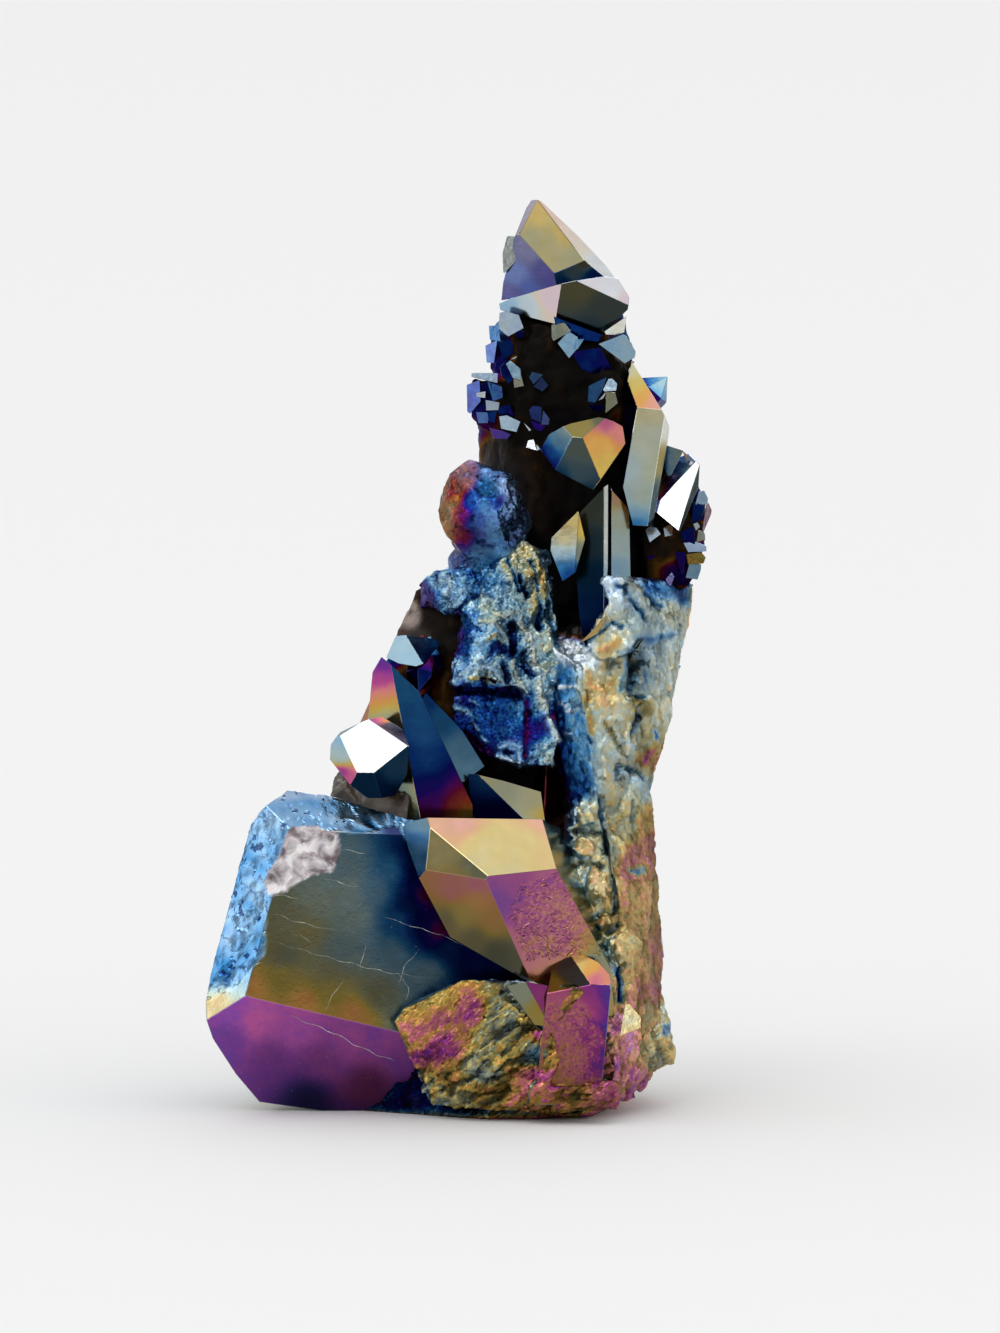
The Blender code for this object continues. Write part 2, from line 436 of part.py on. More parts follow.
def druse():
    """Small crystals: hand-placed ones under the crown and in the hollows, then growth over the back."""
    placed = [
        # name, tip, direction, radius, length, roll
        ("recess tip left", (9.2, 77.6, -4.6), (-0.2, 0.5, -0.8), 1.5, 5.0, 10),
        ("recess tip middle", (12.2, 77.0, -5.6), (0.1, 0.3, -0.95), 1.8, 6.0, 30),
        ("recess tip right", (15.7, 76.6, -4.2), (0.35, 0.35, -0.85), 1.9, 6.0, 0),
        ("beige tip", (4.3, 74.6, -4.8), (-0.3, 0.75, -0.6), 1.0, 6.0, 0),
        ("ink tip", (7.2, 72.9, -4.8), (0.2, 0.2, -0.95), 1.1, 6.0, 20),
        ("blue tip", (6.9, 69.3, -6.0), (0.25, 0.45, -0.85), 1.3, 7.0, 5),
        ("cube tip", (13.4, 72.3, -5.6), (-0.15, 0.6, -0.8), 1.7, 7.0, 25),
        ("white speck", (8.6, 66.4, -5.0), (0.1, 0.6, -0.8), 0.9, 6.0, 0),
        ("speck low", (17.0, 54.8, -6.6), (0.1, 0.4, -0.9), 0.9, 7.0, 15),
        ("speck low right", (18.6, 55.2, -6.6), (0.3, 0.5, -0.8), 0.8, 7.0, 40),
        ("pendant", (-5.2, 41.2, -9.4), (-0.1, -0.75, -0.6), 1.3, 6.0, 0),
        ("navy tip", (-3.9, 46.9, -7.4), (0.15, 0.9, -0.3), 1.4, 6.0, 15),
        ("collar tip", (21.4, 66.2, -2.0), (0.35, 0.9, -0.2), 1.9, 12.0, 20),
        ("edge tip one", (24.4, 60.4, -0.5), (0.75, 0.6, -0.2), 1.7, 9.0, 0),
        ("edge tip two", (24.0, 57.6, -1.5), (0.9, 0.1, -0.4), 1.6, 9.0, 30),
        ("edge tip three", (23.4, 54.6, -2.0), (0.9, -0.2, -0.4), 1.5, 9.0, 10),
        ("high edge tip", (19.8, 72.8, -1.5), (0.7, 0.7, -0.1), 1.5, 8.0, 0),
        ("left druse low", (2.0, 67.6, -3.0), (-0.5, 0.3, -0.8), 1.5, 6.0, 0),
        ("left druse", (-0.1, 72.6, -1.8), (-0.75, 0.6, -0.3), 1.7, 7.0, 20),
        ("left druse inner", (1.6, 71.6, -3.6), (-0.3, 0.5, -0.8), 1.4, 6.0, 40),
        ("left druse outer", (-0.2, 69.0, -1.8), (-0.9, 0.1, -0.4), 1.5, 7.0, 10),
        ("upper druse", (3.0, 79.0, -1.6), (-0.6, 0.7, -0.4), 1.5, 6.0, 30),
        ("upper druse low", (1.4, 75.4, -1.0), (-0.8, 0.4, -0.4), 1.5, 6.0, 0),
        ("foot tip", (20.7, 5.2, -2.5), (0.85, -0.1, -0.5), 2.2, 9.0, 0),
        ("shell one", (-12.4, 27.4, -14.1), (-0.3, 0.4, -0.85), 1.8, 7.0, 0),
        ("shell two", (-9.4, 27.8, -13.8), (0.2, 0.4, -0.9), 1.7, 7.0, 25),
        ("shoulder knob", (-18.2, 31.4, -3.0), (-0.4, 0.85, -0.3), 3.4, 12.0, 10),
        # the far side
        ("back column", (8.4, 67.0, 8.4), (0.04, 0.98, 0.10), 6.6, 62.0, 8),
        ("back column left", (-0.6, 53.0, 8.0), (-0.16, 0.95, 0.12), 5.4, 46.0, 25),
        ("back column right", (15.4, 57.0, 7.6), (0.10, 0.97, 0.12), 4.6, 50.0, 0),
        ("back low left", (-9.4, 42.0, 10.4), (-0.34, 0.85, 0.36), 4.4, 34.0, 10),
        ("back prow", (4.4, 38.0, 17.6), (0.06, 0.80, 0.55), 5.4, 32.0, 0),
        ("back heel", (-15.4, 29.0, 14.6), (-0.45, 0.70, 0.50), 4.8, 26.0, 30),
        ("back right", (15.8, 33.0, 14.0), (0.25, 0.75, 0.55), 3.8, 27.0, 15),
        ("back bud", (-4.8, 26.0, 19.6), (-0.30, 0.55, 0.80), 3.0, 16.0, 50),
        ("back bud right", (11.6, 24.0, 18.6), (0.35, 0.55, 0.80), 2.7, 15.0, 20),
        ("back spire", (3.6, 62.0, 13.4), (-0.15, 0.80, 0.55), 2.4, 14.0, 0),
        ("back sprout", (13.2, 47.0, 14.2), (0.30, 0.75, 0.60), 2.6, 14.0, 40),
        ("back crumb", (9.6, 56.0, 15.6), (0.10, 0.55, 0.85), 1.7, 9.0, 10),
        ("crown mate", (11.4, 81.4, 7.0), (0.20, 0.85, 0.45), 2.4, 12.0, 25),
        ("crown mate left", (5.4, 77.6, 7.6), (-0.35, 0.75, 0.55), 2.1, 10.0, 5),
        ("left flank", (-23.4, 24.0, 8.0), (-0.70, 0.60, 0.36), 3.4, 18.0, 0),
        ("left flank low", (-22.6, 12.0, 11.4), (-0.75, 0.35, 0.55), 2.6, 14.0, 35),
        ("right side", (19.8, 41.0, 7.6), (0.55, 0.60, 0.60), 2.1, 12.0, 12),
        ("right side low", (19.2, 17.4, 6.4), (0.55, 0.45, 0.60), 2.3, 12.0, 40),
        ("neck left", (-0.6, 62.4, 5.4), (-0.70, 0.65, 0.30), 2.1, 11.0, 0),
    ]
    made = []
    for number, (name, tip, lean, radius, length, roll) in enumerate(placed):
        made.append(quartz_point(name, tip, lean, radius, length, roll, seed=number))
    return made


def material(name, colour, metallic, roughness):
    skin = bpy.data.materials.new(name)
    skin.use_nodes = True
    shader = skin.node_tree.nodes["Principled BSDF"]
    shader.inputs["Base Color"].default_value = (*colour, 1.0)
    shader.inputs["Metallic"].default_value = metallic
    shader.inputs["Roughness"].default_value = roughness
    return skin


def build():
    for left_over in list(bpy.data.objects):
        bpy.data.objects.remove(left_over, do_unlink=True)

    grown = bpy.data.collections.new("grown together")
    bpy.context.scene.collection.children.link(grown)
    meshes = rock() + named_crystals() + druse()
    for mesh in meshes[1:]:
        lump = bpy.data.objects.new(mesh.name, mesh)
        lump.hide_render = True
        lump.display_type = "WIRE"
        grown.objects.link(lump)

    cluster = bpy.data.objects.new("quartz_cluster", meshes[0])
    bpy.context.scene.collection.objects.link(cluster)
    union = cluster.modifiers.new("one growth", "BOOLEAN")
    union.operation = "UNION"
    union.operand_type = "COLLECTION"
    union.collection = grown
    union.solver = "EXACT"

    # The union leaves hairline triangles along the seams. Each facet is made whole again, then cut cleanly.
    bpy.context.view_layer.update()
    joined = bpy.data.meshes.new_from_object(cluster.evaluated_get(bpy.context.evaluated_depsgraph_get()))
    cluster.modifiers.clear()
    shape = bmesh.new()
    shape.from_mesh(joined)
    bmesh.ops.remove_doubles(shape, verts=shape.verts[:], dist=0.001 * MM)
    bmesh.ops.dissolve_degenerate(shape, edges=shape.edges[:], dist=0.003 * MM)
    bmesh.ops.dissolve_limit(
        shape, angle_limit=math.radians(0.2), verts=shape.verts[:], edges=shape.edges[:], use_dissolve_boundaries=False
    )
    bmesh.ops.triangulate(shape, faces=shape.faces[:])
    shape.to_mesh(joined)
    shape.free()
    cluster.data = joined

    cluster.data.materials.append(material("titanium coated quartz", (0.10, 0.22, 0.42), 0.9, 0.2))


build()
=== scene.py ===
import itertools
import math
import random

import bmesh
import bpy
import numpy as np
from mathutils import Matrix, Vector
from mathutils.bvhtree import BVHTree


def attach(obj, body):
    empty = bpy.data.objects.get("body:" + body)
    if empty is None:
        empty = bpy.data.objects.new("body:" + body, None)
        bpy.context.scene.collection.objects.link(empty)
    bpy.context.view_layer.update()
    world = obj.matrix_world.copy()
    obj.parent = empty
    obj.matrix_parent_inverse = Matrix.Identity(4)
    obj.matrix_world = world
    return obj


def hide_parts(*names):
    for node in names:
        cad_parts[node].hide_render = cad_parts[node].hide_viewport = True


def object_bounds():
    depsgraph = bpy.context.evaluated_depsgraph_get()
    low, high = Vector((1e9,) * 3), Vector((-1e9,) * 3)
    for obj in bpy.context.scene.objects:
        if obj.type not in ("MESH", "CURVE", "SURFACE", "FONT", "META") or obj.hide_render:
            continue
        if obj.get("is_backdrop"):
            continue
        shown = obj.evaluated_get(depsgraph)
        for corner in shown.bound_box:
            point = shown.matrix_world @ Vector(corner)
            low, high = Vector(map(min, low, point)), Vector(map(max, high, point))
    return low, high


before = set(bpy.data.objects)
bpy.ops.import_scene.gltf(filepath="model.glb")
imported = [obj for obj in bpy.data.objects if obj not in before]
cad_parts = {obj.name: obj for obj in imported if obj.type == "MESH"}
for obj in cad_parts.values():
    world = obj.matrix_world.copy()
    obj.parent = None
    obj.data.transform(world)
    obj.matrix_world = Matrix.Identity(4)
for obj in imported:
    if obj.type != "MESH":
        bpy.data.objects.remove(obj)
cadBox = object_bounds()
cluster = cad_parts["quartz_cluster"]

mm = 0.001

# the cluster is laid out on a sheet that leans back: x to the right, height up the sheet, depth behind it
sheetLean = math.radians(6.0)
right = Vector((1.0, 0.0, 0.0))
up = Vector((0.0, math.sin(sheetLean), math.cos(sheetLean)))
away = Vector((0.0, math.cos(sheetLean), -math.sin(sheetLean)))
sheetAxes = np.array((right, up, away))

tipFaceRise = math.radians(38.2)  # quartz: how far the six tip faces lean in from the prism


def at(x, height, depth):
    return right * x + up * height + away * depth


def linearColour(hexCode):
    channels = [int(hexCode[k:k + 2], 16) / 255 for k in (0, 2, 4)]
    return tuple(c / 12.92 if c <= 0.04045 else ((c + 0.055) / 1.055) ** 2.4 for c in channels) + (1.0,)


def spread(t):
    # 0 to 1 with soft ends
    t = np.clip(t, 0.0, 1.0)
    return t * t * (3 - 2 * t)


def readArray(items, name, width=1, kind=float):
    values = np.empty(len(items) * width, kind)
    items.foreach_get(name, values)
    return values.reshape(-1, width) if width > 1 else values


def perCorner(mesh, values):
    # each face corner takes the value of its vertex
    return values[readArray(mesh.loops, "vertex_index", kind=np.int32)]


def gapTo(start, end, sheet):
    # distance on the sheet to the line between two points
    wide, high = end[0] - start[0], end[1] - start[1]
    across, rise = sheet[:, 0] - start[0], sheet[:, 1] - start[1]
    along = np.clip((across * wide + rise * high) / (wide ** 2 + high ** 2 + 1e-9), 0, 1)
    return np.hypot(across - along * wide, rise - along * high)


def nearLine(line, sheet):
    return np.minimum.reduce([gapTo(start, end, sheet) for start, end in zip(line, line[1:])])


def distanceInside(outline, sheet):
    # how far inside the outline each point is, negative outside
    ring = outline + outline[:1]
    x, height = sheet[:, 0], sheet[:, 1]
    inside = np.zeros(len(x), bool)
    for (x0, h0), (x1, h1) in zip(ring, ring[1:]):
        if h0 != h1:
            reach = x0 + (height - h0) * (x1 - x0) / (h1 - h0)
            inside ^= ((h0 > height) != (h1 > height)) & (x < reach)
    nearest = nearLine(ring, sheet)
    return np.where(inside, nearest, -nearest)


# noise that gives the same numbers everywhere, worked out on whole arrays at once
def cellHash(cells, seed):
    # 0 to 1 for every cell, by mixing its place and the seed with large odd numbers
    word = 2 ** 32 - 1
    wide = cells.astype(np.int64)
    mixed = wide[..., 0] * 374761393 + wide[..., 1] * 668265263 + wide[..., 2] * 1274126177
    mixed = ((mixed + seed * 974634777) & word).astype(np.uint64)
    for shift, factor in ((15, 2246822519), (13, 3266489917)):
        mixed = ((mixed ^ (mixed >> np.uint64(shift))) * np.uint64(factor)) & np.uint64(word)
    return (mixed ^ (mixed >> np.uint64(16))).astype(np.float64) / 2.0 ** 32


def softNoise(points, size, seed, octaves=1):
    # from -1 to 1, with one swell about every `size` mm
    total, weight, strength = np.zeros(len(points)), 0.0, 1.0
    for octave in range(octaves):
        scaled = points / size * 2 ** octave + 17.3 * octave
        cell = np.floor(scaled)
        part = spread(scaled - cell)
        value = np.zeros(len(points))
        for corner in itertools.product((0, 1), repeat=3):
            share = np.prod(np.where(corner, part, 1 - part), axis=1)
            value += share * cellHash(cell + corner, seed + octave)
        total += strength * (2 * value - 1)
        weight += strength
        strength *= 0.5
    return total / weight


def chips(points, size, seed):
    # flat chips of about `size` mm, each with its own tilt: height in mm, and how far off their edge is
    scaled = points / size
    home = np.floor(scaled)
    nearest = np.full(len(points), 9.0)
    second = np.full(len(points), 9.0)
    height = np.zeros(len(points))
    for step in itertools.product((-1, 0, 1), repeat=3):
        cell = home + step
        jitter = np.stack([cellHash(cell, seed + k) for k in range(3)], axis=1)
        offset = scaled - (cell + jitter)
        far = np.linalg.norm(offset, axis=1)
        closer = far < nearest
        second = np.where(closer, nearest, np.minimum(second, far))
        tilt = np.stack([cellHash(cell, seed + 10 + k) - 0.5 for k in range(3)], axis=1)
        rise = (offset * tilt).sum(axis=1) * 1.6 + (cellHash(cell, seed + 20) - 0.5) * 0.5
        height = np.where(closer, rise, height)
        nearest = np.where(closer, far, nearest)
    return height * size, (second - nearest) * size


# how sheltered a place is: the coating comes as vapour, so it is thin wherever stone stands around, and the
# same measure paints shade into those places
# reaches are looked at in turn, each with how much it counts. Sizes in mm
shelter = {
    "cell": 0.6, "margin": 12.0, "reaches": ((1.5, 0.8), (4.0, 1.0), (8.0, 0.9)),
    "standOff": 1.15, "gain": 1.35, "mostCrossings": 40,
}


def treeOf(mesh, unit):
    return BVHTree.FromPolygons([v.co / unit for v in mesh.vertices], [p.vertices[:] for p in mesh.polygons])


def stoneGrid():
    # the solid as a grid of filled cells, found by shooting rays up through it
    cell, margin = shelter["cell"], shelter["margin"]
    stone = treeOf(cluster.data, mm)
    low = np.array(cadBox[0]) / mm - margin
    count = np.ceil((np.array(cadBox[1]) / mm + margin - low) / cell).astype(int)
    grid = np.zeros(count)
    for i, j in itertools.product(range(count[0]), range(count[1])):
        start = Vector((low[0] + (i + 0.5) * cell, low[1] + (j + 0.5) * cell, low[2]))
        hits = []
        while len(hits) < shelter["mostCrossings"]:
            spot = stone.ray_cast(start, Vector((0, 0, 1)))[0]
            if spot is None:
                break
            hits.append(int((spot.z - low[2]) / cell))
            start.z = spot.z + 0.01
        for enter, leave in zip(hits[::2], hits[1::2]):
            grid[i, j, enter:leave + 1] = 1.0
    return low, grid


def blurred(grid, reach):
    # two passes of a box average along each axis
    width = max(1, round(reach / shelter["cell"] / 1.2))
    for axis in (0, 1, 2) * 2:
        margins = [(width + 1, width) if a == axis else (0, 0) for a in range(3)]
        summed = np.cumsum(np.pad(grid, margins), axis=axis)
        size = grid.shape[axis]
        high = np.take(summed, range(2 * width + 1, 2 * width + 1 + size), axis=axis)
        grid = (high - np.take(summed, range(size), axis=axis)) / (2 * width + 1)
    return grid


gridLow, solidGrid = stoneGrid()
shelterGrids = [(reach, share, blurred(solidGrid, reach)) for reach, share in shelter["reaches"]]
print("shelter grid", solidGrid.shape)


def openness(points, normals):
    # 1 on an open face, near 0 deep in a hollow. Points in mm
    openSky = np.ones(len(points))
    for reach, share, grid in shelterGrids:
        spot = (points + normals * reach * shelter["standOff"] - gridLow) / shelter["cell"] - 0.5
        spot = np.clip(spot, 0, np.array(grid.shape) - 1.001)
        base = np.floor(spot).astype(int)
        part = spot - base
        filled = np.zeros(len(points))
        for corner in itertools.product((0, 1), repeat=3):
            weight = np.prod(np.where(corner, part, 1 - part), axis=1)
            filled += weight * grid[tuple((base + corner).T)]
        openSky *= 1 - share * np.clip(filled * shelter["gain"], 0, 1)
    return openSky


# titanium vapour coating on quartz: its colour is the light that its thickness in nanometres sends back
filmColours = {
    0: "241c17", 14: "4a3420", 24: "8a5a24", 32: "b98a35", 40: "c2562f", 47: "9c1f4a", 54: "7a1f8a",
    62: "3a1c9a", 72: "14268c", 82: "1d55b4", 94: "3f93d2", 106: "8fc4e2", 116: "b9d6d6", 126: "c3c9a6",
    138: "d9bd5e", 148: "e6a35a", 156: "e88a8e", 164: "c9559c", 174: "8b3fb0", 184: "4a4fb5",
    196: "3fa0a8", 210: "6faa6a",
}
thickest = 220.0  # nanometres at the far end of that list
metalStarts, metalFull = 4.0, 30.0  # nanometres between which the coating turns from stain to metal
quartzIor = 1.544
# the white that faces pale towards: partly milky frosting, partly a painted highlight
milkWhite = "f4f3f8"


def addNode(tree, kind, values=None, links=None, stops=(), **settings):
    node = tree.nodes.new("ShaderNode" + kind)
    for name, value in settings.items():
        setattr(node, name, value)
    for name, value in (values or {}).items():
        node.inputs[name].default_value = value
    for name, source in (links or {}).items():
        tree.links.new(source, node.inputs[name])
    for number, (position, colour) in enumerate(stops):
        # a new ramp comes with two stops
        stop = node.color_ramp.elements[number] if number < 2 else node.color_ramp.elements.new(position)
        stop.position = position
        stop.color = colour
    return node


def perMetre(size):
    return 1.0 / (size * mm)  # the texture scale that repeats about every `size` mm


def newFinish(name):
    finish = bpy.data.materials.new(name)
    finish.use_nodes = True
    finish.node_tree.nodes.clear()
    place = addNode(finish.node_tree, "TexCoord").outputs["Object"]
    return finish, finish.node_tree, place


def twoTones(low, dark, high, light):
    return [(low, linearColour(dark)), (high, linearColour(light))]


def reliefHeight(tree, pattern, size, detail, stretched):
    # the height that one pattern gives, from 0 to 1, except that chips give it in metres
    if pattern == "chips":
        # every cell is a little flat with its own tilt, so the sheen breaks into facets
        cell = addNode(tree, "TexVoronoi", {"Scale": perMetre(size)}, {"Vector": stretched})
        offset = addNode(tree, "VectorMath", links={0: stretched, 1: cell.outputs["Position"]},
                         operation="SUBTRACT")
        tilt = addNode(tree, "VectorMath", {1: (0.5, 0.5, 0.5)}, {0: cell.outputs["Color"]},
                       operation="SUBTRACT")
        return addNode(tree, "VectorMath", links={0: offset.outputs[0], 1: tilt.outputs[0]},
                       operation="DOT_PRODUCT").outputs["Value"]
    if pattern == "steps":
        # growth lines run across the crystal, each at its own distance from the tip
        rise = addNode(tree, "Attribute", attribute_name="rise").outputs["Fac"]
        fine = addNode(tree, "Math", {1: 1.0 / size}, {0: rise}, operation="MULTIPLY")
        return addNode(tree, "TexNoise", {"Scale": 1.0, "Detail": detail}, {"W": fine.outputs[0]},
                       noise_dimensions="1D").outputs["Fac"]
    twist = {"Distortion": 1.2} if pattern == "worms" else {"Roughness": 0.65}
    wave = addNode(tree, "TexNoise", {"Scale": perMetre(size), "Detail": detail, **twist},
                   {"Vector": stretched})
    if pattern == "grain":
        return wave.outputs["Fac"]
    bands = addNode(tree, "Math", {1: 9.0}, {0: wave.outputs["Fac"]}, operation="MULTIPLY")
    return addNode(tree, "Math", {1: 1.0}, {0: bands.outputs[0]}, operation="PINGPONG").outputs[0]


def coatedQuartz(name, look):
    # one tree for every coated finish: colour by film thickness, painted shade and a paling that is partly
    # painted highlight by attribute, relief by bump
    finish, tree, place = newFinish(name)
    run = {"Rotation": look.get("grainTurn", (0, 0, 0)), "Scale": look.get("grain", (1, 1, 1))}
    stretched = addNode(tree, "Mapping", run, {"Vector": place}, vector_type="TEXTURE").outputs["Vector"]
    layers = [addNode(tree, "Attribute", attribute_name=name) for name in ("film", "shade", "milk")]
    film, shade, milk = (layer.outputs["Fac"] for layer in layers)

    for size, nanometres, detail in look["wobble"]:
        cloud = addNode(tree, "TexNoise", {"Scale": perMetre(size), "Detail": detail, "Roughness": 0.6},
                        {"Vector": stretched}).outputs["Fac"]
        reach = nanometres / thickest
        moved = addNode(
            tree, "MapRange", {"From Min": 0.25, "From Max": 0.75, "To Min": -reach, "To Max": reach},
            {"Value": cloud}, clamp=False,
        ).outputs["Result"]
        film = addNode(tree, "Math", links={0: film, 1: moved}, operation="ADD").outputs[0]
    stops = [(thickness / thickest, linearColour(tone)) for thickness, tone in filmColours.items()]
    ramp = addNode(tree, "ValToRGB", links={"Fac": film}, stops=stops)
    # the paling mixes towards white, partly milky frosting and partly a painted highlight; the shade then
    # scales the colour down as painted shade
    white = addNode(tree, "MixRGB", {"Color2": linearColour(milkWhite)},
                    {"Fac": milk, "Color1": ramp.outputs["Color"]})
    colour = addNode(tree, "VectorMath", links={0: white.outputs["Color"], "Scale": shade},
                     operation="SCALE").outputs[0]

    # fine pits or dust, darker or paler than the face
    if "specks" in look:
        size, radius, tone, strength = look["specks"]
        dots = addNode(tree, "TexVoronoi", {"Scale": perMetre(size)}, {"Vector": place}).outputs["Distance"]
        dot = addNode(
            tree, "MapRange",
            {"From Min": radius / size, "From Max": radius / size * 0.5, "To Min": 0.0, "To Max": strength},
            {"Value": dots},
        ).outputs["Result"]
        colour = addNode(tree, "MixRGB", {"Color2": linearColour(tone)},
                         {"Fac": dot, "Color1": colour}).outputs["Color"]

    low, high, size = look["roughness"]
    haze = addNode(tree, "TexNoise", {"Scale": perMetre(size), "Detail": 3.0}, {"Vector": stretched})
    roughness = addNode(
        tree, "MapRange", {"From Min": 0.3, "From Max": 0.7, "To Min": low, "To Max": high},
        {"Value": haze.outputs["Fac"]},
    ).outputs["Result"]
    normal = {}
    for pattern, size, depth, detail in look["relief"]:
        distance = depth if pattern == "chips" else depth * mm
        bump = addNode(tree, "Bump", {"Strength": 1.0, "Distance": distance},
                       {"Height": reliefHeight(tree, pattern, size, detail, stretched), **normal})
        normal = {"Normal": bump.outputs["Normal"]}

    # where hardly any metal reached, the dark glassy quartz itself shows
    ends = {"From Min": metalStarts / thickest, "From Max": metalFull / thickest,
            "To Min": 0.0, "To Max": 1.0}
    metal = addNode(tree, "MapRange", ends, {"Value": film}).outputs["Result"]
    shown = addNode(
        tree, "BsdfPrincipled", {"Specular IOR Level": look.get("gloss", 0.5)},
        {"Base Color": colour, "Roughness": roughness, "Metallic": metal, **normal},
    ).outputs["BSDF"]

    # where a flake has broken off, bare quartz shows under the coating
    if "bare" in look:
        bare = addNode(tree, "Attribute", attribute_name="bare").outputs["Fac"]
        veil = addNode(tree, "TexNoise", {"Scale": perMetre(1.7), "Detail": 7.0, "Distortion": 0.8},
                       {"Vector": place}).outputs["Fac"]
        dark, light = look["bare"]
        tone = addNode(tree, "ValToRGB", links={"Fac": veil}, stops=twoTones(0.36, dark, 0.62, light))
        crinkle = addNode(tree, "Bump", {"Strength": 1.0, "Distance": 0.25 * mm}, {"Height": veil})
        broken = addNode(
            tree, "BsdfPrincipled",
            {"Roughness": 0.28, "Metallic": 0.0, "IOR": quartzIor,
             "Subsurface Weight": 0.25, "Subsurface Scale": 2.0 * mm},
            {"Base Color": tone.outputs["Color"], "Normal": crinkle.outputs["Normal"]},
        )
        shown = addNode(tree, "MixShader", links={0: bare, 1: shown, 2: broken.outputs[0]}).outputs[0]
    addNode(tree, "OutputMaterial", links={"Surface": shown})
    return finish


# vapour-coated quartz, as-grown face: a mirror with faint growth hillocks, so reflections run clean across
grownFace = coatedQuartz("coatedQuartzGrownFace", {
    "wobble": [(3.5, 2.0, 2.0), (0.5, 1.2, 3.0)],
    "specks": (0.9, 0.055, "3a3326", 0.55),
    "roughness": (0.12, 0.24, 1.2),
    "relief": [("grain", 2.6, 0.016, 2.0), ("grain", 0.35, 0.003, 2.0), ("steps", 0.35, 0.0012, 3.0)],
})
# vapour-coated quartz, etched face: worm-like pits that break the sheen into short glints
etchedFace = coatedQuartz("coatedQuartzEtchedFace", {
    "wobble": [(2.5, 6.0, 2.0), (0.4, 10.0, 3.0)],
    "roughness": (0.18, 0.32, 0.8),
    "relief": [("worms", 1.2, 0.075, 2.0), ("grain", 0.25, 0.015, 2.0)],
})
# vapour-coated quartz, scratched old face: satin, with pits, scratches and one broken milky patch
wornFace = coatedQuartz("coatedQuartzWornFace", {
    "wobble": [(4.0, 2.0, 3.0), (0.8, 2.5, 4.0)],
    "specks": (1.1, 0.07, "8f9a90", 0.5),
    "roughness": (0.16, 0.34, 1.5),
    "relief": [("grain", 2.6, 0.05, 4.0), ("grain", 0.3, 0.010, 2.0)],
    "bare": ("6a5a60", "f4eef0"),
})
# vapour-coated quartz, cleaved: small conchoidal chips that glint gold and blue against each other
cleavedStone = coatedQuartz("coatedQuartzCleaved", {
    "wobble": [(1.2, 10.0, 4.0), (0.28, 13.0, 3.0)],
    "roughness": (0.30, 0.48, 0.5),
    "relief": [("chips", 0.9, 0.7, 0), ("chips", 0.26, 0.9, 0), ("grain", 0.2, 0.02, 3.0)],
})
# vapour-coated quartz, weathered column side: streaked along its length and dull, like waxed plaster
weatheredStone = coatedQuartz("coatedQuartzWeathered", {
    "wobble": [(2.4, 7.0, 5.0), (0.5, 13.0, 4.0)],
    "grain": (1.0, 1.0, 1.3),
    "roughness": (0.34, 0.52, 0.8),
    "relief": [("grain", 0.9, 0.04, 5.0), ("chips", 0.5, 0.85, 0), ("grain", 0.3, 0.045, 4.0)],
})
# vapour-coated quartz crust: fused specks of crystal, mottled from gold to magenta
mottledStone = coatedQuartz("coatedQuartzCrust", {
    "wobble": [(1.1, 12.0, 3.0), (0.3, 9.0, 3.0)],
    "grain": (2.0, 1.0, 1.0),
    "grainTurn": (0.0, math.radians(-38), 0.0),
    "roughness": (0.26, 0.46, 0.6),
    "relief": [("chips", 0.5, 0.8, 0), ("chips", 0.2, 0.7, 0), ("grain", 0.25, 0.03, 4.0)],
})
# vapour-coated quartz in the hollows: thin film over smoky stone, glassy and nearly bare; the dark of its
# hollows is painted shade carried by the shade attribute
shelteredStone = coatedQuartz("coatedQuartzSheltered", {
    "wobble": [(2.5, 6.0, 4.0), (0.6, 4.0, 3.0)],
    "roughness": (0.40, 0.65, 1.4),
    "relief": [("grain", 1.4, 0.10, 5.0)],
    "gloss": 0.06,
})
# vapour-coated quartz knob: many small crystals grown into one, satin between its dents
knobStone = coatedQuartz("coatedQuartzKnob", {
    "wobble": [(1.4, 9.0, 3.0), (0.4, 6.0, 2.0)],
    "roughness": (0.22, 0.40, 0.8),
    "relief": [("chips", 0.9, 0.5, 0), ("chips", 0.35, 0.45, 0), ("grain", 0.3, 0.02, 3.0)],
})
# vapour-coated quartz druse: tiny bright crystals, sharp and clean
druseFace = coatedQuartz("coatedQuartzDruse", {
    "wobble": [(1.6, 6.0, 2.0)],
    "roughness": (0.10, 0.22, 0.6),
    "relief": [("grain", 0.8, 0.020, 3.0)],
})


def smokyGlass(name, look):
    # bare quartz: how far it can be looked into is up to the piece, and milky veils drift through it
    finish, tree, place = newFinish(name)
    veil = addNode(tree, "TexNoise", {"Scale": perMetre(look["veil"]), "Detail": 6.0},
                   {"Vector": place}).outputs["Fac"]
    tone = addNode(tree, "ValToRGB", links={"Fac": veil},
                   stops=twoTones(0.38, look["dark"], 0.68, look["light"]))
    dent = addNode(tree, "Bump", {"Strength": 1.0, "Distance": 0.08 * mm}, {"Height": veil})
    skin = addNode(
        tree, "BsdfPrincipled",
        {"Roughness": 0.16, "Metallic": 0.0, "IOR": quartzIor, "Transmission Weight": look["clear"]},
        {"Base Color": tone.outputs["Color"], "Normal": dent.outputs["Normal"]},
    )
    addNode(tree, "OutputMaterial", links={"Surface": skin.outputs["BSDF"]})
    return finish


# smoky quartz, bare: grey-brown and half clear
smokyStone = smokyGlass("smokyQuartzBare", {"veil": 3.0, "dark": "3b3129", "light": "9a8c7c", "clear": 0.35})
# quartz vein, healed crack: thin milky lines that stand a hair proud of the face
veinStone = smokyGlass("milkyQuartzVein", {"veil": 0.8, "dark": "8c958c", "light": "e4e6dc", "clear": 0.0})
print("finishes made")


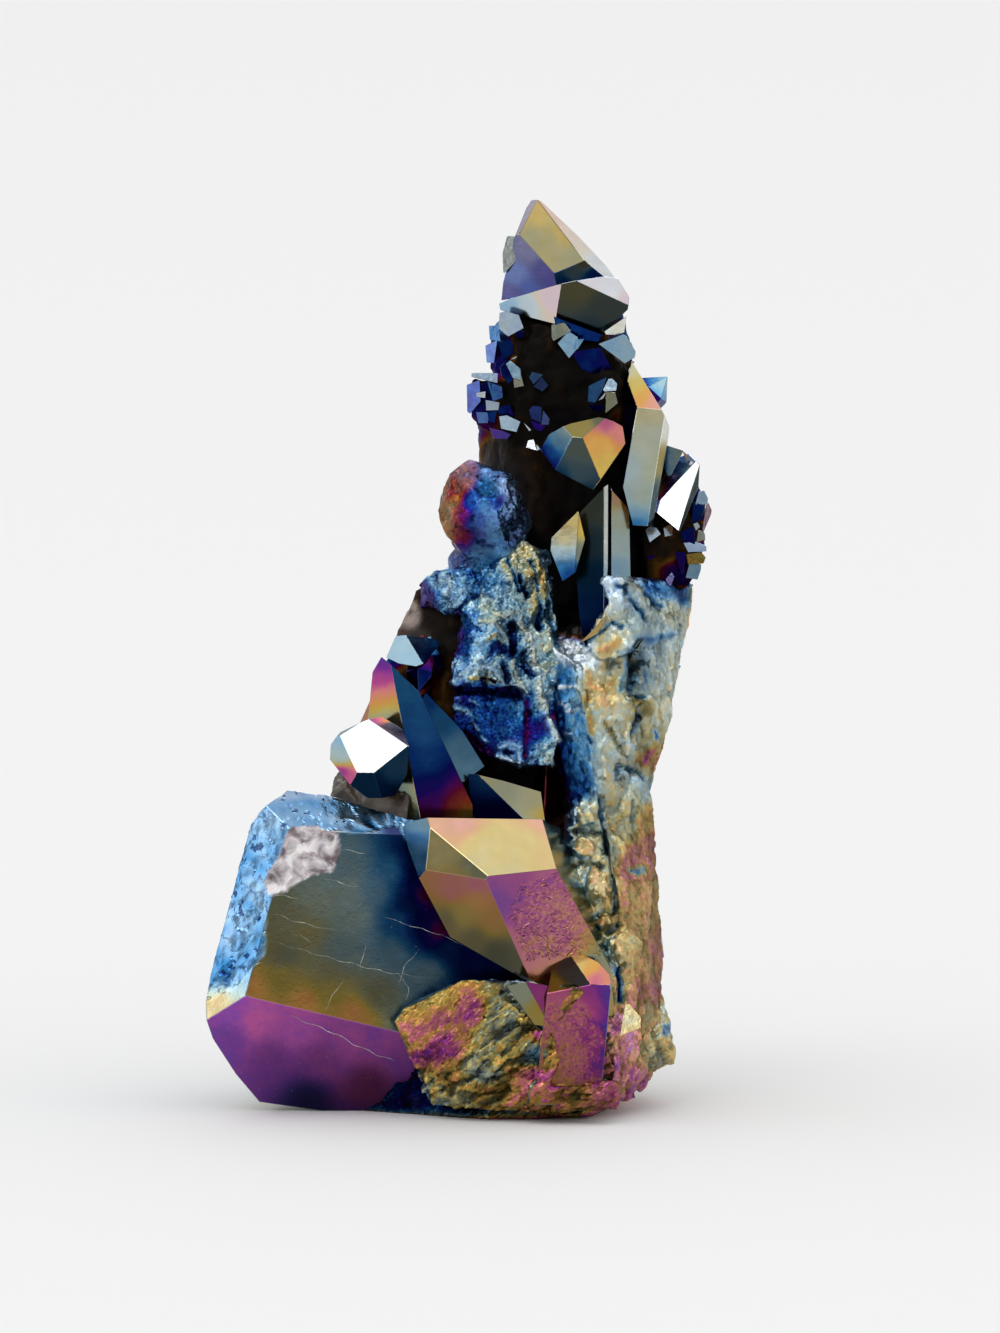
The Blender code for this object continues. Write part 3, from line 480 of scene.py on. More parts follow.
# crystals are convex bodies, built facet by facet
# edge: how far edges are rounded. grain: mesh fineness. merge: shortest edge kept, all in mm. flat and
# edgeTilt, in degrees: faces nearer than flat are one face, and one tilted past edgeTilt belongs to an edge
growth = {"edge": 0.05, "grain": 0.42, "merge": 0.12, "flat": 1.5, "edgeTilt": 4.0, "mostCuts": 7}
groundPlane = (Vector((0, 0, 0)), Vector((0, 0, -1)))


def faceDirection(turn, nod):
    # the way a face looks that is turned to the right and tipped up, in degrees
    turn, nod = math.radians(turn), math.radians(nod)
    forward = -away * math.cos(turn) + right * math.sin(turn)
    return forward * math.cos(nod) + up * math.sin(nod)


def onPlane(plane, spot):
    # where the plane is met by going straight back from (x, height)
    point, normal = plane
    start = at(*spot, 0.0)
    return start + away * ((point - start).dot(normal) / away.dot(normal))


def planesOf(crystal):
    # the first face is placed where listed, folds turn off from it along a line, and rims close the outline
    name, spot, depth, turn, nod = crystal["first"]
    planes = {name: (at(*spot, depth), faceDirection(turn, nod))}
    for name, parent, start, end, angle in crystal["folds"]:
        first, last = onPlane(planes[parent], start), onPlane(planes[parent], end)
        normal = planes[parent][1]
        outward = normal.cross((last - first).normalized())
        angle = math.radians(angle)
        planes[name] = (first, normal * math.cos(angle) + outward * math.sin(angle))
    for parent, lean, *spots in crystal["rims"]:
        for start, end in zip(spots, spots[1:]):
            first, last = onPlane(planes[parent], start), onPlane(planes[parent], end)
            along = (last - first).normalized()
            outward = along.cross(away).normalized()
            hidden = along.cross(outward)
            hidden *= math.copysign(1.0, hidden.dot(away))
            angle = math.radians(lean)
            planes[f"rim{len(planes)}"] = (first, outward * math.cos(angle) + hidden * math.sin(angle))
    planes["back"] = (at(0.0, 0.0, crystal["back"]), away)
    if "ends" in crystal:
        left, far, low, high = crystal["ends"]
        planes["leftEnd"] = (at(left, 0.0, 0.0), -right)
        planes["rightEnd"] = (at(far, 0.0, 0.0), right)
        planes["lowEnd"] = (at(0.0, low, 0.0), -up)
        planes["highEnd"] = (at(0.0, high, 0.0), up)
    return planes


def quartzPlanes(tip, lean, radius, length, roll, seed, uneven=0.12):
    # a whole quartz crystal: tip, the way it points, radius and length
    chance = random.Random(seed)
    axis = (right * lean[0] + up * lean[1] + away * lean[2]).normalized()
    side = axis.orthogonal().normalized()
    tip = at(*tip)
    planes = {"root": (tip - axis * length, -axis)}
    rise = radius * math.tan(math.pi / 2 - tipFaceRise)
    for step in range(6):
        outward = Matrix.Rotation(math.radians(roll + 60 * step), 3, axis) @ side
        reach = radius * (1 + chance.uniform(-uneven, uneven))
        planes[f"prism{step}"] = (tip + outward * reach, outward)
        sloping = outward * math.cos(tipFaceRise) + axis * math.sin(tipFaceRise)
        drop = chance.uniform(0.0, uneven) * rise * (1 if step % 2 else 0.25)
        planes[f"tip{step}"] = (tip - axis * drop, sloping)
    return planes, axis


def hullOf(corners, merge=0.0):
    shape = bmesh.new()
    for corner in corners:
        shape.verts.new(corner)
    if merge:
        bmesh.ops.remove_doubles(shape, verts=shape.verts[:], dist=merge)
    hull = bmesh.ops.convex_hull(shape, input=shape.verts[:], use_existing_faces=False)
    spare = {g for g in hull["geom_interior"] + hull["geom_unused"] if isinstance(g, bmesh.types.BMVert)}
    bmesh.ops.delete(shape, geom=list(spare), context="VERTS")
    return shape


def growShape(planes, edge, grain):
    # the body behind all the planes, with rounded edges, cut fine enough to carry colour. In mm
    items = list(planes.values()) + [groundPlane]
    points = np.array([p for p, _ in items])
    normals = np.array([n for _, n in items])
    offsets = (points * normals).sum(axis=1)
    trios = np.array(list(itertools.combinations(range(len(items)), 3)))
    rows = normals[trios]
    good = np.abs(np.linalg.det(rows)) > 1e-4
    corners = np.linalg.solve(rows[good], offsets[trios[good]][..., None])[..., 0]
    corners = corners[((corners @ normals.T - offsets) < 1e-4).all(axis=1)]

    shape = hullOf(corners, growth["merge"])
    bmesh.ops.dissolve_limit(shape, angle_limit=math.radians(growth["flat"]), verts=shape.verts[:],
                             edges=shape.edges[:], use_dissolve_boundaries=False)
    bmesh.ops.recalc_face_normals(shape, faces=shape.faces[:])
    bmesh.ops.bevel(shape, geom=shape.edges[:], offset=edge, offset_type="OFFSET", segments=1, profile=0.5,
                    affect="EDGES", clamp_overlap=True)
    bmesh.ops.triangulate(shape, faces=shape.faces[:])
    for _ in range(growth["mostCuts"]):
        long = [e for e in shape.edges if e.calc_length() > grain * 1.5]
        if not long:
            break
        bmesh.ops.subdivide_edges(shape, edges=long, cuts=1, use_grid_fill=True)
        bmesh.ops.triangulate(shape, faces=[f for f in shape.faces if len(f.verts) > 3])
    return shape


def facetOf(shape, planes):
    # which plane each face lies on, and whether it belongs to a rounded edge
    names = list(planes)
    normals = np.array([planes[n][1] for n in names])
    offsets = np.array([planes[n][0].dot(planes[n][1]) for n in names])
    centres = np.array([f.calc_center_median() for f in shape.faces])
    facing = np.array([f.normal for f in shape.faces])
    likeness = facing @ normals.T - 0.15 * np.abs(centres @ normals.T - offsets)
    best = likeness.argmax(axis=1)
    aligned = (facing * normals[best]).sum(axis=1)
    return names, best, aligned < math.cos(math.radians(growth["edgeTilt"]))


def padded(rows, width):
    # values left off the end of a row are 0
    return np.array([(*row, *([0.0] * (width - len(row)))) for row in rows], float)


def blendSpots(spots, sheet):
    # thickness, shade (painted shade) and paling (partly painted highlight) over a facet, each spot's say
    # falling off with distance
    rows = padded(spots, 5)
    softness = 0.03 * np.ptp(sheet[:, :2], axis=0).max()
    away2 = (sheet[:, 0:1] - rows[:, 0]) ** 2 + (sheet[:, 1:2] - rows[:, 1]) ** 2
    weight = 1.0 / (away2 + softness) ** 1.8
    weight /= weight.sum(axis=1, keepdims=True)
    return weight @ rows[:, 2:]


def meshFrom(shape, name):
    mesh = bpy.data.meshes.new(name)
    shape.to_mesh(mesh)
    shape.free()
    return mesh


def writeAttributes(mesh, domain, **values):
    for name, numbers in values.items():
        layer = mesh.attributes.new(name, "FLOAT", domain)
        layer.data.foreach_set("value", np.ascontiguousarray(numbers, np.float32))


# tucked-in places have a thinner film and painted shade, less so on faces with spots of their own. Rounded
# edges get a painted glint
tucking = {"ownFaces": 0.35, "film": 1.25, "shade": 1.4, "recessShadePaint": 0.6}
edgeGlintPaint = {"shade": 1.1, "lift": 0.02, "milk": 0.04}


def facePaint(mesh, names, facet, onEdge, films, fallback, tuck, axis=None, tip=None):
    # film, painted shade, paling and rise at every face corner. Rise counts down from the tip where there is
    # one
    count = len(mesh.loops)
    spots = perCorner(mesh, readArray(mesh.vertices, "co", 3))
    starts = readArray(mesh.polygons, "loop_start", kind=np.int32)
    polygonOf = np.repeat(np.arange(len(mesh.polygons)), np.diff(np.append(starts, count)))
    facetHere = facet[polygonOf]
    edgeHere = onEdge[polygonOf]
    sheet = spots @ sheetAxes.T
    sky = openness(spots, readArray(mesh.polygons, "normal", 3)[polygonOf])
    film, shade, milk = np.zeros(count), np.ones(count), np.zeros(count)
    for number, name in enumerate(names):
        mine = facetHere == number
        if not mine.any():
            continue
        if name in films:
            film[mine], shade[mine], milk[mine] = blendSpots(films[name], sheet[mine]).T
        else:
            film[mine], shade[mine], milk[mine] = fallback(name, spots[mine])
    own = np.isin(facetHere, [names.index(n) for n in films if n in names])
    held = np.where(own, tuck * tucking["ownFaces"], tuck)
    film *= 1 - held * (1 - spread(sky * tucking["film"]))
    # painted shade in sheltered places
    shade *= 1 - tucking["recessShadePaint"] * held * (1 - spread(sky * tucking["shade"]))
    # painted highlight on the rounded edges: lighter and paler
    shade = np.where(edgeHere, np.clip(shade * edgeGlintPaint["shade"] + edgeGlintPaint["lift"], 0, 1), shade)
    milk = np.where(edgeHere, np.clip(milk + edgeGlintPaint["milk"], 0, 1), milk)
    rise = (tip - spots) @ axis if axis is not None else sheet[:, 1]
    writeAttributes(mesh, "CORNER", film=film / thickest, shade=np.clip(shade, 0, 1), milk=milk, rise=rise)


def asPiece(mesh, name, *finishes):
    mesh.transform(Matrix.Scale(mm, 4))
    piece = bpy.data.objects.new(name, mesh)
    bpy.context.scene.collection.objects.link(piece)
    for finish in finishes:
        mesh.materials.append(finish)
    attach(piece, "root")
    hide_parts("quartz_cluster")


def quietFallback(seed):
    # facets that the piece's own table leaves out: blue to pale, thinner towards the stone
    chance = random.Random(seed)
    picks = {}

    def paint(name, spots):
        if name not in picks:
            picks[name] = (chance.choice((84, 92, 100, 112, 124, 134)), chance.uniform(0.25, 0.6))
        film, shade = picks[name]
        return np.full(len(spots), film), np.full(len(spots), shade), np.zeros(len(spots))
    return paint


def growCrystal(crystal):
    planes = planesOf(crystal)
    shape = growShape(planes, crystal.get("edge", growth["edge"]), crystal.get("grain", growth["grain"]))
    names, facet, onEdge = facetOf(shape, planes)
    mesh = meshFrom(shape, crystal["name"])
    facePaint(mesh, names, facet, onEdge, crystal["films"], quietFallback(crystal["name"]),
              crystal.get("tuck", 0.8))
    return mesh


# spots of a film are (x, height, nanometres, shade, milk and glare): shade is painted shade that darkens a
# face where it catches less light, and the last value pales it, partly as a painted highlight
# the crown is two crystals grown together: a low blunt one in front, and the spire that rises behind it
crownBrow = {
    "name": "crownBrow", "first": ("brow", (12, 79.8), -4.9, 0, -20),
    "folds": [
        ("blush", "brow", (10.8, 82.1), (15.8, 79.8), 41), ("cheek", "brow", (8.5, 78.2), (9.1, 81.7), 26),
    ],
    "rims": [
        ("brow", 8, (15.8, 79.4), (13.3, 77), (8.6, 77.9)), ("cheek", 4, (8.6, 77.9), (3.1, 79)),
        ("cheek", 4, (3.1, 79), (2.9, 80), (4.3, 80.6)), ("cheek", 4, (4.3, 80.6), (9, 81.9)),
        ("brow", 4, (9, 81.9), (10.9, 82.3)), ("blush", 4, (10.9, 82.3), (13.4, 82.7), (14.7, 82.5)),
        ("blush", 8, (14.7, 82.5), (15.9, 80.6), (15.8, 79.4)),
    ],
    "back": 5,
    "films": {
        "brow": [(11, 81.2, 130, 0.1), (13, 79.4, 120, 0.06), (12.2, 77.6, 108, 0.05)],
        # the near-white of this face is a painted highlight over a faint warm tint
        "blush": [(12.5, 82, 150, 1, 0.9), (14.2, 81.4, 118, 1, 0.95), (15.5, 80.4, 158, 1, 0.75)],
        "cheek": [(7.8, 80.4, 160, 0.75, 0.7), (6, 79.6, 112, 0.75, 0.45), (3.8, 79.5, 103, 0.75, 0.2)],
    },
}

crownSpire = {
    "name": "crownSpire", "first": ("step", (11, 83.2), -4, 0, 4),
    "folds": [
        ("front", "step", (8.4, 83), (11.4, 84.3), 20), ("flank", "front", (7, 90.1), (11.4, 84.3), 48),
        ("violet", "front", (8.4, 83), (4.9, 86.9), 36),
        ("chipped", "front", (5.1, 87.3), (6.7, 90.4), 30),
    ],
    "rims": [
        ("step", 5, (15, 82.4), (3.6, 80.1)), ("violet", 12, (3, 79.2), (3.3, 82.1), (4.4, 86.4)),
        ("chipped", 4, (4.3, 86.6), (5.5, 89.4), (6.3, 90.6)), ("front", 20, (6.3, 90.5), (7, 90.4)),
        ("flank", 26, (7, 90.4), (10.8, 86.8), (13.6, 83.8), (15, 81.8)),
    ],
    "back": 8, "ends": (2.6, 15.6, 78.6, 92),
    "films": {
        "step": [
            (11.5, 84, 130, 0.1), (10, 82.8, 116, 0.1), (12.2, 82.8, 78, 0.16), (9.6, 82.3, 80, 0.13),
        ],
        "front": [
            (6.8, 88.9, 138, 0.24, 0.1), (8, 86.4, 134, 0.18, 0.08), (10.7, 84.6, 132, 0.17, 0.08),
            (9.2, 87, 140, 0.22, 0.1), (6, 86.4, 130, 0.18, 0.08),
        ],
        "flank": [(8, 88.9, 150, 1, 0.5), (10.5, 86.4, 144, 1, 0.6), (13, 83.6, 122, 0.95, 0.65)],
        "violet": [
            (6, 81.4, 78, 0.47, 0.1), (7.5, 83.4, 68, 0.4, 0.12), (6, 85.4, 68, 0.4, 0.3),
            (4.5, 82.9, 84, 0.47, 0.2), (3.8, 80.9, 68, 0.47, 0.15), (8.2, 82.4, 68, 0.4, 0.1),
        ],
        "chipped": [(5.4, 88.6, 170, 0.5, 0.75)],
    },
}

amberCrystal = {
    "name": "amberCrystal", "first": ("green", (10.7, 63.4), -10, -8, -12),
    "folds": [
        ("orange", "green", (11.2, 66.5), (13, 62.3), 45),
        ("olive", "green", (10.2, 66.6), (11.2, 66.5), 55),
        ("teal", "green", (8.5, 63.3), (10.1, 66.4), 38),
    ],
    "rims": [
        ("green", 5, (13, 62.3), (11.2, 60), (8.5, 63.3)),
        ("orange", 8, (13.3, 68.5), (15.2, 67.9), (15.6, 65.2), (13, 61.6)),
        ("olive", 15, (10.2, 68), (13.3, 68.7), (15.2, 68.1)),
        ("teal", 10, (8.5, 63.3), (6.6, 64.6), (7.9, 66.9), (10.2, 68.2)),
    ],
    "back": 4,
    "films": {
        "green": [
            (11, 65.3, 120, 0.12), (10.8, 63, 110, 0.1), (9.2, 62.4, 90, 0.11), (11.2, 60.8, 96, 0.05),
        ],
        "orange": [
            (13.6, 68, 160, 0.38), (14.8, 67.2, 154, 0.46), (13.2, 65.8, 145, 0.5), (13.6, 64, 139, 0.52),
        ],
        "olive": [(11.5, 67.6, 136, 0.43), (13, 68.3, 128, 0.23)],
        "teal": [
            (9.7, 67.2, 116, 0.6), (8.8, 66, 104, 0.6), (8, 65, 84, 0.6), (7.2, 64.2, 60, 0.5),
            (6.9, 64.6, 50, 0.5),
        ],
    },
}

columnCrystal = {
    "name": "columnCrystal", "first": ("front", (17.2, 64), -7.4, 4, 8),
    "folds": [
        ("cap", "front", (16.7, 69.6), (18.6, 69.4), 34),
        ("right", "front", (19.2, 67.4), (17.8, 58.4), 52),
        ("left", "front", (15.3, 62), (16.7, 69.8), 56),
    ],
    "rims": [
        ("cap", 8, (15.5, 71.4), (16.2, 74.6), (18, 71.6), (19, 69.8)),
        ("right", 8, (19, 69.8), (19.9, 67.6), (19.8, 66.6), (18.2, 57.6)),
        ("front", 8, (17.8, 57.7), (16.2, 57.8), (15.2, 61.7)),
    ],
    "back": 7, "ends": (14, 20.4, 57.6, 75),
    "films": {
        "cap": [
            (16.2, 73.4, 134, 0.95, 0.1), (16.4, 71.8, 138, 0.95), (17.2, 70.6, 146, 0.95),
            (18.2, 70.2, 154, 0.95, 0.15),
        ],
        "front": [
            (17.5, 68.9, 132, 0.95, 0.15), (17.5, 66.4, 126, 0.95, 0.2), (16.2, 63.4, 117, 0.9, 0.2),
            (17.8, 63.4, 127, 0.95, 0.2), (17, 60.4, 122, 0.85, 0.1), (16.6, 59.2, 108, 0.8),
            (16.6, 58, 92, 0.75),
        ],
        "right": [(19.4, 67.6, 128, 0.95, 0.6), (18.7, 64.4, 134, 0.5), (18.2, 60.4, 112, 0.16)],
        "left": [(15.9, 66, 76, 0.12)],
    },
}

mirrorCrystal = {
    "name": "mirrorCrystal", "first": ("white", (20.8, 60.8), -6.4, -10, 22),
    "folds": [
        ("top", "white", (19.1, 60.5), (22.2, 63.8), 26),
        ("right", "white", (22.7, 63.4), (20.9, 57.7), 55),
    ],
    "rims": [
        ("white", 14, (20.6, 57.4), (18.2, 59.4), (18, 60.2)),
        ("top", 2, (17.9, 60.1), (19.6, 63.2), (20.8, 64.6), (21.8, 65), (22.9, 63.9)),
        ("right", 12, (22.9, 63.3), (22.8, 61.6), (21.1, 57.6)),
    ],
    "back": 3,
    "films": {
        # the near-white of this face is a painted highlight
        "white": [(20.8, 60.6, 116, 1, 0.9), (19, 59.9, 110, 1, 0.7)],
        "top": [(19.2, 62, 92, 0.95, 0.6), (21, 64.2, 102, 1, 0.7)],
        "right": [(22.6, 60.4, 118, 0.25), (21.6, 58.4, 118, 0.12)],
    },
}

# two thin crystals side by side, with a dark slot between them
stripedCrystal = {
    "name": "stripedCrystal", "first": ("pale", (15, 56.5), -7.6, 14, 8),
    "folds": [
        ("slot", "pale", (14.1, 52.9), (14.1, 61.2), 62), ("shadow", "pale", (14.1, 61.4), (16, 59.3), 30),
    ],
    "rims": [("pale", 20, (14.1, 61.7), (15.9, 59.5), (16.1, 50)), ("slot", 10, (13.8, 49), (13.8, 61.5))],
    "back": 4, "ends": (12, 16.6, 46, 63),
    "films": {
        "pale": [
            (14.8, 60.2, 150, 0.6, 0.2), (15, 58.8, 126, 0.8, 0.15), (15, 55.9, 119, 0.8, 0.15),
            (14.7, 53.4, 108, 0.75, 0.1),
        ],
        "slot": [(13.7, 57.4, 96, 0.05)],
        "shadow": [(15, 60.6, 66, 0.25)],
    },
    "tuck": 0.3,
}

stripedMate = {
    "name": "stripedMate", "first": ("dark", (12.2, 56), -7.9, -14, 2),
    "folds": [("strip", "dark", (13.35, 61.2), (13.3, 50), 44)],
    "rims": [
        ("dark", 14, (13.9, 48.6), (11.5, 45.6), (10.9, 48.5), (10.5, 54), (11, 59.2), (13.5, 61.8)),
        ("strip", 10, (13.8, 61.7), (13.75, 46)),
    ],
    "back": 4, "ends": (9, 14.4, 45, 63),
    "films": {
        "strip": [(13.6, 57.4, 126, 0.75, 0.5), (13.6, 51, 112, 0.6, 0.3)],
        "dark": [
            (12.2, 59.4, 124, 0.11), (12, 55.9, 108, 0.08), (12, 52.9, 94, 0.09), (11.8, 49.4, 86, 0.16),
            (13, 48, 80, 0.12), (12.4, 46.4, 70, 0.08),
        ],
    },
    "tuck": 0.3,
}

giltCrystal = {
    "name": "giltCrystal", "first": ("gold", (9.6, 55.5), -9.5, -14, 12),
    "folds": [("ochre", "gold", (10.9, 59.2), (10.4, 53), 50)],
    "rims": [
        ("gold", 20, (8, 55.3), (8.1, 56.6), (10.9, 59.4)),
        ("gold", 20, (10.4, 53), (9.2, 52.2), (8, 55.3)),
        ("ochre", 20, (10.8, 59.4), (11.5, 56.4), (10.4, 52.6)),
    ],
    "back": 2,
    "films": {
        "gold": [
            (10.2, 58.2, 138, 0.55, 0.1), (9.4, 56.4, 134, 0.52, 0.2), (9.2, 55, 112, 0.5, 0.25),
            (9.2, 53.8, 94, 0.45), (9.8, 53, 82, 0.35),
        ],
        "ochre": [(10.9, 57.5, 140, 0.5), (10.9, 55, 124, 0.2), (10.5, 53.4, 90, 0.15)],
    },
}

paleBlueCrystal = {
    "name": "paleBlueCrystal", "first": ("light", (-6.5, 45.4), -9.5, -25, 28),
    "folds": [("right", "light", (-6.4, 46.9), (-4.7, 44.1), 42)],
    "rims": [
        ("light", 20, (-8.3, 44.7), (-7.4, 46.8), (-6.4, 46.9)),
        ("light", 20, (-4.9, 43.9), (-6, 43.5), (-8.3, 44.6)),
        ("right", 20, (-6.4, 47), (-3.9, 47), (-2.9, 45.9), (-3.2, 43.8), (-5.2, 43.4)),
    ],
    "back": 0,
    "films": {
        "light": [(-6.5, 45.2, 109, 1, 0.15)],
        "right": [(-4.5, 46.4, 96, 0.25), (-3.8, 44.6, 84, 0.15), (-5, 44.4, 90, 0.2)],
    },
}

bladeCrystal = {
    "name": "bladeCrystal", "first": ("blue", (-4, 34.4), -10, 6, -4),
    "folds": [("ember", "blue", (-6.2, 35.3), (-7.8, 43.6), 42)],
    "rims": [
        ("blue", 8, (-7.7, 43.8), (-5, 41.2), (0.3, 30), (0.4, 27)),
        ("ember", 8, (-10.2, 38), (-9.7, 43.2), (-8.7, 44.9), (-7.7, 44)),
    ],
    "back": 1, "ends": (-10.4, 3, 26, 46),
    "films": {
        "blue": [
            (-7, 41.5, 92, 0.28), (-5, 37.5, 88, 0.32), (-4.6, 34, 84, 0.28), (-4.4, 32, 70, 0.3),
            (-3.8, 30.4, 60, 0.28), (-1.6, 29.9, 46, 0.3), (-0.6, 28.9, 36, 0.35), (-4.4, 28.6, 52, 0.2),
        ],
        "ember": [
            (-8.8, 44.2, 176, 0.6), (-9.2, 42.4, 165, 0.75), (-8.8, 40.6, 153, 0.8),
            (-8.2, 39.2, 140, 0.75), (-7.8, 38, 126, 0.4),
        ],
    },
    "tuck": 0.3,
}

secondBladeCrystal = {
    "name": "secondBladeCrystal", "first": ("blue", (-1.5, 36.5), -8.6, 16, 2),
    "folds": [],
    "rims": [
        (
            "blue", 20, (-3.2, 33), (-4.9, 40.2), (-4.4, 41.2), (-0.8, 37.5), (1.5, 33.8), (-0.6, 32.2),
            (-3.2, 33),
        ),
    ],
    "back": 1,
    "films": {
        "blue": [
            (-2.6, 38.5, 94, 0.4), (-0.6, 35.5, 104, 0.5), (-0.4, 33.4, 108, 0.6), (-4.2, 40.4, 84, 0.4),
        ],
    },
    "tuck": 0.3,
}

whiteCrystal = {
    "name": "whiteCrystal", "first": ("white", (-9.6, 35.6), -13, -8, 18),
    "folds": [
        ("top", "white", (-10.2, 38.6), (-6.2, 35.9), 40),
        ("shoulder", "white", (-12.1, 37.4), (-10.2, 38.6), 48),
        ("left", "white", (-11.2, 33.2), (-12.4, 35.8), 42),
        ("under", "white", (-6.2, 35.8), (-9.5, 33.2), 48),
        ("chin", "white", (-9.5, 33.2), (-11.2, 33.2), 46),
    ],
    "rims": [
        ("left", 20, (-12.9, 32.2), (-14, 33.6), (-13.8, 36.8), (-12.1, 38)),
        ("under", 20, (-6, 35.6), (-6.2, 33), (-7.4, 30.9), (-10.2, 30.4), (-12.9, 32)),
        ("top", 8, (-12.1, 38.4), (-11, 39.5), (-10, 39.5), (-6.4, 37.4), (-6, 35.8)),
    ],
    "back": -2,
    "films": {
        # the near-white of this face is a painted highlight
        "white": [(-9.6, 35.6, 112, 0.74, 0.7)],
        "top": [(-8.5, 38.4, 160, 0.55, 0.7)],
        "shoulder": [(-11.6, 38.4, 112, 0.6, 0.4)],
        "left": [
            (-12.8, 36.6, 104, 0.8, 0.2), (-12.8, 34.8, 114, 0.75, 0.1), (-12.8, 33.2, 168, 0.7),
            (-12.2, 32.4, 162, 0.8),
        ],
        "under": [(-7.4, 33.4, 96, 0.08), (-9, 31.6, 84, 0.05)],
        "chin": [(-10.8, 32.2, 90, 0.06)],
    },
}

goldAndMagentaCrystal = {
    "name": "goldAndMagentaCrystal", "first": ("magenta", (7, 19.4), -16.5, 12, -14),
    "folds": [
        ("gold", "magenta", (1.9, 23), (8.6, 23.7), 46),
        ("gradient", "magenta", (5.3, 14.2), (1.6, 22.6), 34),
        ("olive", "gold", (1.1, 23.6), (-3.6, 27.5), 34), ("left", "olive", (-4.6, 21.5), (-4, 27), 36),
        ("flank", "magenta", (8.6, 23.7), (12.8, 16), 72),
    ],
    "rims": [
        ("gold", 10, (-5.9, 28.8), (7.1, 28.6)), ("left", 10, (-4.6, 21.5), (-6.8, 27.6), (-5.9, 28.8)),
        ("gradient", 10, (2, 14.6), (-2.9, 17.4), (-4.8, 21.6)),
        ("flank", 10, (9, 27.6), (12.4, 20.6), (13.8, 14.6)),
    ],
    "back": 0, "ends": (-8, 15, 9, 30),
    "films": {
        "gold": [
            (1.5, 25.8, 136, 1, 0.14), (4.5, 25, 136, 1, 0.14), (7, 28.4, 151, 1, 0.22),
            (-1, 28.4, 150, 0.95, 0.22), (8, 24.6, 141, 1, 0.17), (5.5, 26.6, 139, 1, 0.17),
        ],
        "magenta": [
            (3.2, 20.6, 172, 0.52, 0.08), (4.6, 22, 168, 0.52, 0.08), (6.6, 21, 161, 0.57, 0.08),
            (8.4, 19.6, 160, 0.57, 0.08), (6, 17, 160, 0.52, 0.08), (10.8, 15.6, 150, 0.57, 0.08),
            (9, 16.6, 159, 0.57, 0.08), (12.2, 14.6, 126, 0.42, 0.08),
        ],
        "gradient": [
            (0.8, 22.2, 158, 0.4, 0.05), (0.6, 20.6, 148, 0.4, 0.05), (-1.6, 21.6, 154, 0.36, 0.05),
            (-0.8, 19.2, 138, 0.33, 0.05), (-2.2, 18.6, 132, 0.18, 0.05), (0.4, 16.6, 132, 0.16, 0.05),
            (2.6, 15.4, 128, 0.11, 0.05), (2.4, 18.4, 146, 0.33, 0.05),
        ],
        "olive": [(-2.4, 25.4, 136, 0.59, 0.1), (-1.6, 22.8, 139, 0.51, 0.1), (0.6, 24.2, 130, 0.38)],
        "left": [
            (-5, 28.2, 118, 0.75, 0.1), (-5.4, 26.4, 100, 0.45), (-4.8, 24, 96, 0.3),
            (-4.2, 22.4, 70, 0.25),
        ],
        "flank": [(9.4, 25, 130, 0.4), (11.2, 20.5, 136, 0.4), (12.6, 16.4, 124, 0.4)],
    },
    "tuck": 0.3, "edge": 0.035,
    "etched": (
        "magenta", [(5, 22.2), (9.2, 23.2), (11.4, 19.2), (13, 15.4), (9, 14.8), (5.4, 14.6), (3.8, 18.4)],
    ),
    "grain": 0.3,
}

oliveCrystal = {
    "name": "oliveCrystal", "first": ("navy", (1.8, 30.6), -9.5, -16, -8),
    "folds": [("olive", "navy", (1, 32.8), (5.1, 28.8), 42)],
    "rims": [
        ("navy", 20, (0.4, 27), (-0.2, 33.1), (1, 33)), ("olive", 20, (1, 33.1), (7.1, 31.3), (7.7, 27)),
    ],
    "back": 2, "ends": (-1, 8, 25, 34),
    "films": {
        "navy": [(1.4, 31, 92, 0.1), (3, 29.2, 84, 0.09)],
        "olive": [(3.6, 31.6, 130, 0.5, 0.1), (6, 30.6, 132, 0.6, 0.1), (6.6, 28.6, 139, 0.75)],
    },
}

